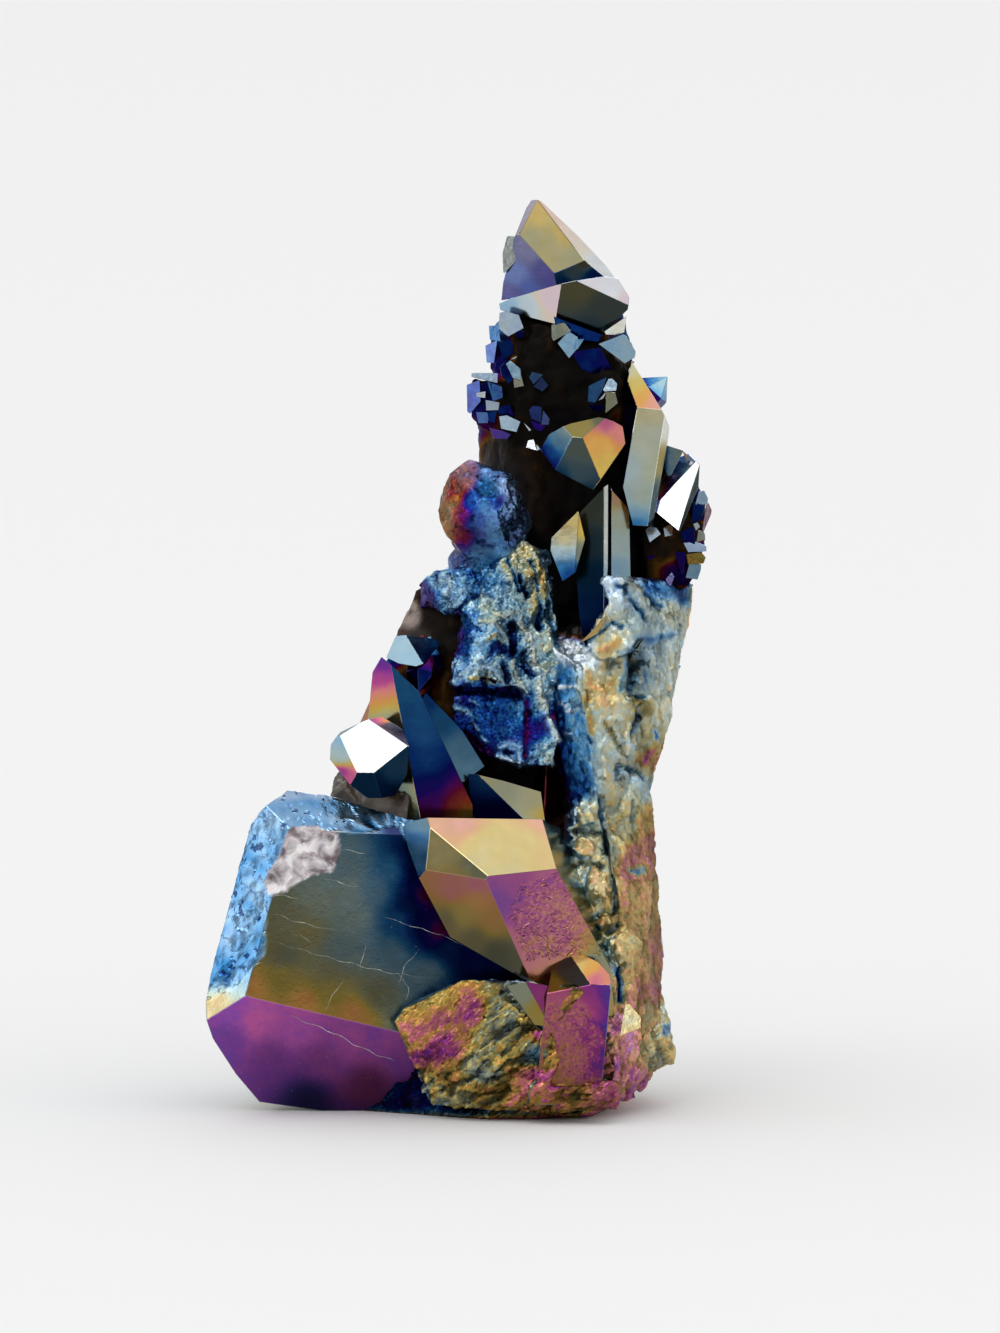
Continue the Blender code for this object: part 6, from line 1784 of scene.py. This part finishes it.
crustRock = {
    "name": "crustRock",
    "blocks": ("mottledCrust", "scalyCrust", "roughFront", "topRubble", "seamRubble", "crustLip"),
    "voxel": 0.175, "sink": 0.1,
    "carving": [
        ("swell", 3, 0.22, 38, (0.4, 1, 1)), ("chips", 1.3, 0.17, 30, (0.3, 1, 1)),
        ("chips", 0.6, 0.09, 34, (0.4, 1, 1)), ("swell", 0.5, 0.06, 34, (0.35, 1, 1)),
    ],
    "brushes": [
        (-6.6, 8.4, 1.3, 145, 0.59), (-4.8, 9.8, 1.3, 144, 0.63), (-2.4, 11.2, 1.3, 141, 0.68),
        (0.2, 12, 1.3, 140, 0.75), (2.4, 11.6, 1, 142, 0.6), (-4.6, 8, 1.2, 149, 0.54),
        (-2.4, 8.6, 1.3, 154, 0.5), (0.2, 9.8, 1.2, 158, 0.5), (-2.6, 5.8, 1.2, 162, 0.38),
        (-1, 7, 1, 153, 0.45), (2.6, 12.9, 1, 132, 0.6, 0.3), (4.8, 12.8, 1, 122, 0.7, 0.35),
        (7, 12.8, 1, 136, 0.8, 0.35), (3, 8.6, 1.3, 132, 0.45), (5, 8.2, 1.1, 137, 0.42),
        (1.4, 6.4, 1.4, 136, 0.5), (4.2, 5.6, 1.4, 140, 0.5), (-1.2, 3.2, 1.5, 139, 0.55),
        (1.6, 3.2, 1.4, 128, 0.42), (1, 0.8, 1.4, 143, 0.45), (4.6, 2, 1.5, 146, 0.45),
        (6.6, 5.4, 1, 112, 0.25), (6.2, 0.6, 1.2, 152, 0.4), (9.4, 10, 1, 146, 0.5),
        (10.6, 12, 1, 134, 0.25), (8.4, 8.4, 0.9, 152, 0.5), (10, 3.6, 1.8, 154, 0.36),
        (12.6, 6, 1.3, 158, 0.38), (12.6, 2.6, 1.4, 152, 0.34), (7.4, 6.6, 0.8, 155, 0.5),
        (7, 3.4, 0.9, 157, 0.42), (8.2, 5, 0.8, 150, 0.5), (8, 1, 1, 146, 0.36), (10.8, 1.2, 1, 147, 0.34),
        (14.2, 1, 1, 156, 0.32),
    ],
    "mottle": 5, "ridgeFilm": 8, "reliefShadePaint": 0.9, "ridgeHighlightPaint": 0, "tuck": 0.3,
    "flow": (1.5, 42, (0.5, 1, 1), 11),
    "calm": [[(-8.5, 8), (-6.6, 10.4), (0, 13.2), (3.2, 12.2), (3.4, 10.2), (-3.3, 2.2), (-6.5, 5.6)]],
}

smokyRock = {
    "name": "smokyQuartz",
    "blocks": ("smokyQuartz",),
    "voxel": 0.3, "sink": 0.05,
    "carving": [("chips", 3.5, 0.2, 0, (1, 1, 1)), ("swell", 2, 0.08, 0, (1, 1, 1))],
    "brushes": [(-10, 30, 3, 10, 0.8)],
    "mottle": 0, "ridgeFilm": 0, "reliefShadePaint": 0, "ridgeHighlightPaint": 0, "tuck": 0.2,
}

skins = {}
for rock, finish in ((pillarRock, weatheredStone), (cleavedRock, cleavedStone), (bulbRock, knobStone),
                     (neckRock, shelteredStone), (footRock, mottledStone), (crustRock, mottledStone),
                     (smokyRock, smokyStone)):
    mesh = carveRock(rock)
    skins[rock["name"]] = treeOf(mesh, 1)
    asPiece(mesh, rock["name"], finish)
    print(rock["name"], len(mesh.polygons), "faces")


# flat-faced chips of crystal in the hollow under the crown and along the right edge
# depth, turn, nod, nanometres, shade, milk and glare, outline: the shade is painted shade, the paling partly
# painted highlight
recessShards = [
    (-4, -20, 8, 106, 0.83, 0.4, (0, 73), (1, 73.1), (2.8, 72.6), (2.7, 72), (1.2, 72.1), (0.1, 72.2)),
    (-4.2, -6, -8, 70, 0.14, 0, (1, 72), (2.2, 72), (2.3, 70.9), (1.2, 70.9)),
    (-3.8, -34, -2, 78, 0.65, 0.1, (-0.3, 71.9), (1, 72), (1.1, 70.2), (0.6, 68.4), (-0.3, 68.9)),
    (-4, -12, -6, 84, 0.59, 0.1, (0.6, 69.2), (2, 69), (1.9, 68), (0.9, 67.8)),
    (-4.5, -8, 8, 112, 0.89, 0.6, (0.6, 71.1), (1.6, 71.2), (1.5, 70.5), (0.7, 70.5)),
    (-4.6, 8, 6, 108, 0.83, 0.5, (1.5, 70.4), (3, 70.2), (2.8, 69.3), (1.6, 69.4)),
    (-4.8, -10, 8, 106, 0.94, 0.4, (2.7, 68.7), (3.8, 68.8), (5, 68), (4.6, 67.1), (3.1, 67.3)),
    (-4.6, 4, -8, 64, 0.59, 0.05, (2, 67.6), (3.1, 67.4), (4.2, 67), (3.8, 66.4), (2.4, 66.5)),
    (-4.9, 0, 8, 116, 0.9, 0.8, (5, 68.4), (5.2, 68.4), (6.1, 67.3), (5.9, 67.2)),
    (-4.1, 14, -4, 88, 0.59, 0.05, (1.8, 72.2), (3.2, 71.9), (3.4, 70.6), (2.2, 70.4)),
    (-4, 0, -10, 72, 0.24, 0, (2.4, 69.6), (4, 69.9), (4.6, 68.8), (3.2, 68.6)),
    (-4.3, -16, -4, 76, 0.33, 0, (1.7, 69.2), (2.7, 69.2), (2.6, 68), (1.9, 68)),
    (
        -3.6, -12, 8, 108, 0.89, 0.45, (2.7, 79), (3.6, 79.2), (5, 78.6), (5.2, 77.4), (3.9, 76.6),
        (2.8, 77.2),
    ),
    (-3.2, -24, 2, 88, 0.59, 0.1, (1.8, 77.8), (2.9, 77.6), (3, 76.2), (2, 75.9)),
    (-3, -34, -2, 84, 0.65, 0.15, (1.5, 75.8), (2.7, 76), (2.6, 74), (1.7, 73.4)),
    (-3.7, 8, -8, 74, 0.15, 0, (4.5, 77.4), (5.5, 77.3), (5.4, 76.6), (4.6, 76.6)),
    (-3.3, 6, 2, 78, 0.35, 0, (2.8, 76.2), (4.2, 76.5), (4.4, 75), (3.2, 74.4)),
    (-3.2, -8, -6, 72, 0.24, 0, (2.7, 74.6), (3.8, 74.4), (3.4, 73.2), (2.4, 73.4)),
    (
        -1.2, -24, 0, 122, 0.32, 0.5, (3.9, 86.8), (4.7, 86.6), (4.6, 84.2), (3.8, 82.7), (3.3, 83),
        (3.2, 85),
    ),
    (-4.9, -8, -6, 118, 0.22, 0, (19.4, 65.9), (21.3, 65.2), (20.5, 63.1), (20, 62.3), (19.4, 63.4)),
    (-5, 24, 4, 150, 0.5, 0.4, (21.2, 65.3), (21.7, 65), (22, 64.4), (21.5, 64.3)),
    (-5, -24, -4, 88, 0.3, 0, (19, 65.8), (19.5, 65.8), (19.5, 63.2), (19.1, 63.8)),
    (-10.3, 10, 10, 140, 0.8, 0.1, (11.2, 46.4), (12.6, 48.2), (13.7, 49.7), (13.4, 48.2), (12.4, 46.8)),
    (-5.2, -20, 6, 122, 0.52, 0.1, (8, 77.8), (9.6, 77.9), (10, 77.1), (8.5, 75.7), (8.1, 76.4)),
    (-5.6, -12, 6, 106, 1, 0.15, (8.5, 75.8), (9.9, 77.2), (10.8, 76.4), (10.7, 75.4), (9.9, 74.4)),
    (
        -5.7, 4, 5, 100, 0.98, 0.1, (10.3, 76.4), (11.6, 76.5), (12.9, 76.3), (12.6, 75.5), (10.8, 75.4),
        (10.2, 74.6),
    ),
    (
        -5.6, 16, 6, 108, 0.98, 0.15, (13.2, 76.1), (15, 77.1), (15.6, 76.8), (16.6, 75.3), (16.4, 74.5),
        (15.2, 74.1),
    ),
    (-4.8, 10, -6, 126, 0.98, 0.5, (13.4, 77.2), (15.7, 78.9), (15.5, 77.1), (14.4, 76.8), (13.5, 76.9)),
    (
        -4.9, 0, -14, 78, 0.31, 0, (8.6, 78.6), (11, 77.8), (13.4, 77), (13, 76.1), (10.4, 76.4),
        (8.6, 77.4),
    ),
    (-5, 4, -20, 70, 0.26, 0, (10.4, 75.2), (13, 75.6), (14.6, 73.8), (13.4, 72.6), (11, 73.6)),
    (-5.3, -14, 10, 106, 0.65, 0.2, (3.3, 73.8), (4.1, 74.3), (5.1, 73), (5, 72.3), (4.3, 72.4)),
    (-5.3, 6, 4, 132, 0.55, 0.5, (4.3, 72.5), (5.1, 73), (5.4, 71.7), (4.4, 71.6)),
    (-5, -20, -2, 76, 0.35, 0, (2.9, 73.6), (3.5, 74), (4.3, 72.4), (4, 71.8), (3.2, 72.5)),
    (-5.4, 0, 8, 118, 0.71, 0.4, (3.8, 74.3), (4.9, 74.9), (4.5, 74.4)),
    (-5, -16, 6, 92, 0.32, 0.1, (5.8, 72.5), (6.2, 73.2), (7.2, 72.7), (6.4, 71.7)),
    (-5, 10, 4, 84, 0.26, 0.1, (6.3, 71.7), (7.1, 72.8), (7.9, 71.8), (7.1, 71.2)),
    (-6, -14, 2, 78, 0.55, 0.05, (5.8, 69.3), (6.4, 69.8), (7.2, 69.5), (7.1, 68), (6.1, 68.3)),
    (-6, 14, 6, 84, 0.55, 0.15, (7.2, 69.5), (8, 68.5), (7.8, 67.8), (7.1, 68)),
    (-5.6, 0, -16, 66, 0.35, 0, (6.1, 68.3), (7.8, 67.8), (7.2, 67.1), (6.3, 67.6)),
    (-6.2, -18, 6, 90, 0.42, 0.05, (11.7, 71.7), (13.6, 72.4), (13.2, 71.2), (12.6, 70), (11.7, 70)),
    (
        -6.4, -4, 10, 108, 0.8, 0.35, (13.6, 72.4), (14.2, 72.5), (14.7, 71.8), (14.5, 71.2), (13.4, 71.1),
        (13.2, 71.3),
    ),
    (-6.3, 14, 2, 130, 0.62, 0.1, (13.5, 71.2), (14.5, 71.2), (14.8, 70), (13.5, 69.3)),
    (-6.3, 8, 8, 114, 0.8, 0.6, (12.7, 70.2), (13.4, 71.2), (13.7, 71.1), (13, 70.3)),
    (-6.2, 6, -16, 74, 0.2, 0, (11.8, 69.9), (13.4, 69.9), (13.3, 69.1), (12.2, 69.3)),
    (-6, -8, 12, 112, 0.9, 0.7, (5.7, 66.3), (6.4, 66.4), (6.5, 65.3), (5.5, 65.4)),
    (-5.9, 14, 8, 112, 0.6, 0.5, (6.5, 66.2), (7.1, 65.4), (6.6, 65.3)),
    (-5.8, -6, 9, 110, 0.85, 0.5, (17.3, 57.3), (18, 57.8), (18.7, 57.5), (19, 56.9), (17.9, 56.1)),
    (-5.8, 8, 8, 112, 0.72, 0.35, (19.2, 57.5), (19.8, 58), (20.3, 57.7), (20.1, 56.8), (19.4, 56.7)),
    (-5.2, 0, 4, 66, 0.3, 0, (17.6, 54.6), (18.2, 55), (18.5, 54.7), (18, 54.3)),
    (-4.6, 24, 8, 104, 0.7, 0.3, (22.6, 61.2), (23.3, 61.5), (23.8, 60.6), (23.6, 59.9), (22.5, 60.1)),
    (-4.2, 40, 4, 160, 0.4, 0.5, (23.6, 60.6), (24.2, 59.6), (23.8, 58.2), (23.2, 57.6), (23.3, 59.6)),
    (-4.8, 4, -8, 78, 0.16, 0, (22.4, 60.2), (23.5, 59.8), (23.2, 58.4), (22, 58)),
    (-5.2, 6, 6, 118, 0.7, 0.5, (22.2, 58), (22.7, 58.2), (23, 57.7), (22.5, 57.3)),
    (-5, 22, 2, 128, 0.6, 0.4, (22.7, 57.4), (23.4, 57.3), (23.4, 56.4), (22.6, 56.4)),
    (-5.4, -12, -6, 72, 0.2, 0, (21, 57.2), (22.4, 57.6), (22.6, 55.9), (21.3, 56)),
    (-5.4, 6, 14, 98, 0.75, 0.4, (21.1, 56.1), (22.4, 56.3), (23.6, 55.8), (23.5, 55.2), (21.7, 55.2)),
    (-5.2, 10, -2, 141, 0.45, 0, (21.6, 55), (23, 55.3), (23.6, 54.7), (23.3, 54), (21.7, 54)),
    (-5.6, 12, 6, 106, 0.6, 0.15, (21.7, 54), (23.1, 54.1), (23, 53.2), (22.6, 52.4), (21.5, 52.7)),
    (-5, -10, -14, 64, 0.18, 0, (20.6, 55.2), (21.6, 55.1), (21.7, 52.6), (21, 53)),
    (-13.9, 2, 16, 136, 0.95, 0.2, (14.8, 10.4), (15.9, 10.2), (17, 8.6), (16.8, 7.8), (14.9, 7.2)),
    (-4.9, -2, 12, 68, 0.4, 0.2, (19.4, 52.4), (20.1, 53.3), (20.4, 52.6), (19.8, 51.6)),
]

# name, tip, the way it points, radius, length, roll
frontDruse = [
    ("pendant", (-5.2, 41.2, -9.4), (-0.1, -0.75, -0.6), 1.3, 6, 0),
    ("navyTip", (-3.9, 46.9, -7.4), (0.15, 0.9, -0.3), 1.4, 6, 15),
    ("highEdgeTip", (19.8, 72.8, -1.5), (0.7, 0.7, -0.1), 1.5, 8, 0),
    ("footTip", (20.7, 5.2, -2.5), (0.85, -0.1, -0.5), 2.2, 9, 0),
    ("shoulderKnob", (-18.2, 31.4, -3), (-0.4, 0.85, -0.3), 3.4, 12, 10),
]

backCrystals = [
    ("backColumn", (8.4, 67, 8.4), (0.04, 0.98, 0.1), 6.6, 62, 8),
    ("backColumnLeft", (-0.6, 53, 8), (-0.16, 0.95, 0.12), 5.4, 46, 25),
    ("backColumnRight", (15.4, 57, 7.6), (0.1, 0.97, 0.12), 4.6, 50, 0),
    ("backLowLeft", (-9.4, 42, 10.4), (-0.34, 0.85, 0.36), 4.4, 34, 10),
    ("backProw", (4.4, 38, 17.6), (0.06, 0.8, 0.55), 5.4, 32, 0),
    ("backHeel", (-15.4, 29, 14.6), (-0.45, 0.7, 0.5), 4.8, 26, 30),
    ("backRight", (15.8, 33, 14), (0.25, 0.75, 0.55), 3.8, 27, 15),
    ("backBud", (-4.8, 26, 19.6), (-0.3, 0.55, 0.8), 3, 16, 50),
    ("backBudRight", (11.6, 24, 18.6), (0.35, 0.55, 0.8), 2.7, 15, 20),
    ("backSpire", (3.6, 62, 13.4), (-0.15, 0.8, 0.55), 2.4, 14, 0),
    ("backSprout", (13.2, 47, 14.2), (0.3, 0.75, 0.6), 2.6, 14, 40),
    ("backCrumb", (9.6, 56, 15.6), (0.1, 0.55, 0.85), 1.7, 9, 10),
    ("crownMate", (11.4, 81.4, 7), (0.2, 0.85, 0.45), 2.4, 12, 25),
    ("crownMateLeft", (5.4, 77.6, 7.6), (-0.35, 0.75, 0.55), 2.1, 10, 5),
    ("leftFlank", (-23.4, 24, 8), (-0.7, 0.6, 0.36), 3.4, 18, 0),
    ("leftFlankLow", (-22.6, 12, 11.4), (-0.75, 0.35, 0.55), 2.6, 14, 35),
    ("rightSide", (19.8, 41, 7.6), (0.55, 0.6, 0.6), 2.1, 12, 12),
    ("rightSideLow", (19.2, 17.4, 6.4), (0.55, 0.45, 0.6), 2.3, 12, 40),
    ("neckLeft", (-0.6, 62.4, 5.4), (-0.7, 0.65, 0.3), 2.1, 11, 0),
]


rootThinning = 34  # nanometres lost from tip to root of a druse crystal


def pointPaint(seed, axis, tip, length, films, shades):
    # each crystal keeps to one band of the film, a little different on each face, thinner towards its root
    chance = random.Random(seed)
    base = chance.choice(films)
    picks = {}

    def paint(name, spots):
        if name not in picks:
            lift = chance.uniform(0, 10) if name.startswith("tip") else chance.uniform(-10, 4)
            picks[name] = (base + lift, chance.uniform(*shades))
        film, shade = picks[name]
        down = np.clip(((tip - spots) @ axis) / length, 0, 1)
        return film - rootThinning * down, np.full(len(spots), shade), np.zeros(len(spots))
    return paint


def growPoint(name, tip, lean, radius, length, roll, seed, look):
    planes, axis = quartzPlanes(tip, lean, radius, length, roll, seed)
    shape = growShape(planes, look["edge"], look["grain"])
    names, facet, onEdge = facetOf(shape, planes)
    mesh = meshFrom(shape, name)
    top = np.array(at(*tip))
    axis = np.array(axis)
    reach = min(length, look["reach"])
    paint = pointPaint(f"{name}{seed}", axis, top, reach, look["films"], look["shades"])
    facePaint(mesh, names, facet, onEdge, {}, paint, look["tuck"], axis, top)
    return mesh


def shardPlanes(depth, turn, nod, corners, thick):
    # a flat outline on a tilted plane, with sides that run back into the stone
    face = (at(*np.mean(corners, axis=0), depth), faceDirection(turn, nod))
    planes = {"face": face}
    area = sum(x0 * h1 - x1 * h0 for (x0, h0), (x1, h1) in zip(corners, corners[1:] + corners[:1]))
    ring = corners if area < 0 else corners[::-1]
    lifted = [onPlane(face, corner) for corner in ring]
    for number, (first, last) in enumerate(zip(lifted, lifted[1:] + lifted[:1])):
        along = (last - first).normalized()
        outward = along.cross(away).normalized()
        angle = math.radians(24 + 9 * (number % 3))
        planes[f"side{number}"] = (first, outward * math.cos(angle) + away * math.sin(angle))
    planes["back"] = (at(0.0, 0.0, depth + thick), away)
    return planes


def growShard(number, row, look):
    depth, turn, nod, film, shade, milk, *corners = row
    planes = shardPlanes(depth, turn, nod, corners, look["thick"])
    shape = growShape(planes, look["edge"], look["grain"])
    names, facet, onEdge = facetOf(shape, planes)
    mesh = meshFrom(shape, f"shard{number}")
    chance = random.Random(number)
    # the sides get a thinner film and painted shade, darker than the face
    filmsAndShades = {name: (film + chance.uniform(-22, -4), shade * chance.uniform(0.25, 0.7)) for name in planes}
    filmsAndShades["face"] = (film, shade)

    def paint(name, spots):
        drift = 3.0 * softNoise(spots, 1.5, number, 2)
        return filmsAndShades[name][0] + drift, np.full(len(spots), filmsAndShades[name][1]), np.full(len(spots), milk)
    facePaint(mesh, names, facet, onEdge, {}, paint, look["tuck"])
    return mesh


def asOnePiece(meshes, name, finish):
    # many small crystals joined, with their attributes
    shape = bmesh.new()
    for mesh in meshes:
        shape.from_mesh(mesh)
        bpy.data.meshes.remove(mesh)
    asPiece(meshFrom(shape, name), name, finish)


druseLook = {"edge": 0.04, "grain": 0.45, "reach": 6.0, "films": (76, 86, 94, 100, 106, 112),
             "shades": (0.25, 0.9), "tuck": 0.5}
backLook = {"edge": 0.08, "grain": 1.05, "reach": 26.0, "films": (112, 130, 140, 150, 158, 166, 176, 188),
            "shades": (0.35, 0.8), "tuck": 0.6}
shardLook = {"edge": 0.05, "grain": 0.4, "thick": 3.2, "tuck": 0.25}
asOnePiece([growShard(number, row, shardLook) for number, row in enumerate(recessShards)],
           "recessShards", druseFace)

# small crystals scattered where nothing else grows: rock, middle x, heights, bearings from straight back,
# count, radii
scatter = [
    ("neckRock", 9.4, (54.0, 76.0), (-70, 72), 30, (0.8, 1.9)),
    ("neckRock", 8.0, (40.0, 54.0), (-60, 60), 10, (0.9, 2.0)),
    ("footRock", 0.0, (6.0, 24.0), (-85, 80), 22, (0.9, 2.2)),
    ("pillarRock", 8.0, (12.0, 50.0), (62, 84), 12, (0.5, 1.0)),
]


def scattered():
    chance = random.Random(12)
    rows = []
    for skin, middleX, heights, bearings, count, radii in scatter:
        for number in range(count):
            height = chance.uniform(*heights)
            bearing = math.radians(chance.uniform(*bearings))
            radius = chance.uniform(*radii)
            outwards = right * math.sin(bearing) + away * math.cos(bearing)
            spot, normal, _, _ = skins[skin].ray_cast(at(middleX, height, 2.0) + outwards * 60, -outwards)
            if spot is None:
                continue
            axis = (normal + up * chance.uniform(0.1, 0.9) + right * chance.uniform(-0.3, 0.3)).normalized()
            tip = np.array(spot + axis * radius * chance.uniform(0.7, 1.5)) @ sheetAxes.T
            lean = np.array(axis) @ sheetAxes.T
            roll = chance.uniform(0, 60)
            rows.append((f"{skin}Bud{number}", tuple(tip), tuple(lean), radius, radius * 4, roll))
    return rows


budLook = {"edge": 0.05, "grain": 0.85, "reach": 8.0, "shades": (0.3, 0.85), "tuck": 0.5,
           "films": (76, 86, 94, 104, 112, 124, 134, 146, 158, 168, 182)}
for name, rows, firstSeed, look, finish in (
        ("scatteredBuds", scattered(), 60, budLook, grownFace),
        ("frontDruse", frontDruse, 0, druseLook, druseFace),
        ("backCrystals", backCrystals, len(frontDruse), backLook, grownFace)):
    points = [growPoint(*row, firstSeed + number, look) for number, row in enumerate(rows)]
    asOnePiece(points, name, finish)
print("druse grown")


# the height that the camera takes in, its middle on the sheet, its distance and its sensor, in mm
viewFrame = {"height": 133.3, "middle": (3.0, 43.75), "distance": 2000.0, "sensor": 36.0}

reach = 6.0  # metres of paper each way
floorMesh = bpy.data.meshes.new("floor")
floorMesh.from_pydata([(-reach, -reach, 0), (reach, -reach, 0), (reach, reach, 0), (-reach, reach, 0)], [],
                      [(0, 1, 2, 3)])
floor = bpy.data.objects.new("floor", floorMesh)
bpy.context.scene.collection.objects.link(floor)
# matte studio paper, pressed pulp: no shine of its own, so it only takes the soft shadow
paper, paperTree, _ = newFinish("matteStudioPaper")
sheen = addNode(paperTree, "BsdfPrincipled",
                {"Base Color": linearColour("f1f1f1"), "Roughness": 0.9, "Specular IOR Level": 0.1})
addNode(paperTree, "OutputMaterial", links={"Surface": sheen.outputs["BSDF"]})
floorMesh.materials.append(paper)
floor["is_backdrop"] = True

studio = bpy.data.worlds.new("studio")
bpy.context.scene.world = studio
studio.use_nodes = True
sky = studio.node_tree
sky.nodes.clear()
rays = addNode(sky, "LightPath")
direction = addNode(sky, "TexCoord").outputs["Generated"]
height = addNode(sky, "SeparateXYZ", links={0: direction}).outputs["Z"]
climb = addNode(sky, "MapRange", {"From Min": -0.2, "From Max": 1.0}, {"Value": height}).outputs[0]
gradient = addNode(sky, "ValToRGB", links={"Fac": climb},
                   stops=[(0.0, (0.12, 0.13, 0.14, 1)), (1.0, (0.95, 0.97, 1.0, 1))])
glossySky = addNode(sky, "Background", {"Strength": 1.0}, {"Color": gradient.outputs["Color"]})
softSky = addNode(sky, "Background", {"Color": linearColour("ffffff"), "Strength": 0.97})
shownSky = addNode(sky, "Background", {"Color": linearColour("f1f1f1"), "Strength": 1.0})
lit = addNode(sky, "MixShader",
              links={0: rays.outputs["Is Glossy Ray"], 1: softSky.outputs[0], 2: glossySky.outputs[0]})
seen = addNode(sky, "MixShader",
               links={0: rays.outputs["Is Camera Ray"], 1: lit.outputs[0], 2: shownSky.outputs[0]})
addNode(sky, "OutputWorld", links={"Surface": seen.outputs[0]})

# name, turn from the front (right is positive), height angle, distance, width and height in m, brightness,
# and whether it also lights the paper
softboxes = [
    ("topSoftbox", -18, 48, 2.2, 1.3, 1.3, 2.4, False),
    ("leftSoftbox", -62, 16, 2.2, 1.1, 1.8, 1.5, False),
    ("rightSoftbox", 70, 28, 2.2, 0.8, 1.8, 1.2, False),
    ("backSoftbox", 168, 42, 2.2, 1.4, 1.4, 1.8, False),
    ("backLeftSoftbox", -125, 20, 2.2, 0.9, 1.8, 1.2, False),
    ("keySoftbox", -30, 62, 2.6, 0.9, 0.9, 1.6, True),
]
middle = Vector((0.0, 0.0, 45.0 * mm))  # half way up the cluster, where every box aims
for name, turn, rise, far, width, tall, bright, onPaper in softboxes:
    turn, rise = math.radians(turn), math.radians(rise)
    aim = Vector((math.sin(turn) * math.cos(rise), -math.cos(turn) * math.cos(rise), math.sin(rise)))
    lamp = bpy.data.lights.new(name, "AREA")
    lamp.shape = "RECTANGLE"
    lamp.size, lamp.size_y = width, tall
    lamp.energy = bright * math.pi * width * tall
    box = bpy.data.objects.new(name, lamp)
    box.location = middle + aim * far
    box.rotation_euler = aim.to_track_quat("Z", "Y").to_euler()
    box.visible_camera = False
    box.visible_diffuse = onPaper
    box.visible_glossy = not onPaper
    bpy.context.scene.collection.objects.link(box)

camera = bpy.data.cameras.new("camera")
camera.sensor_fit = "VERTICAL"
camera.sensor_height = viewFrame["sensor"]
camera.lens = viewFrame["sensor"] * viewFrame["distance"] / viewFrame["height"]
camera.clip_start, camera.clip_end = 0.1, 30.0
viewer = bpy.data.objects.new("camera", camera)
stand = at(*viewFrame["middle"], -viewFrame["distance"]) * mm
viewer.matrix_world = Matrix.Translation(stand) @ Matrix((right, up, -away)).transposed().to_4x4()
bpy.context.scene.collection.objects.link(viewer)
bpy.context.scene.camera = viewer
bpy.context.scene.view_settings.view_transform = "Standard"
bpy.context.scene.view_settings.look = "None"

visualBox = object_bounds()
for name, box in (("cad", cadBox), ("visual", visualBox)):
    print(name, "box", [round(c / mm, 2) for corner in box for c in corner])
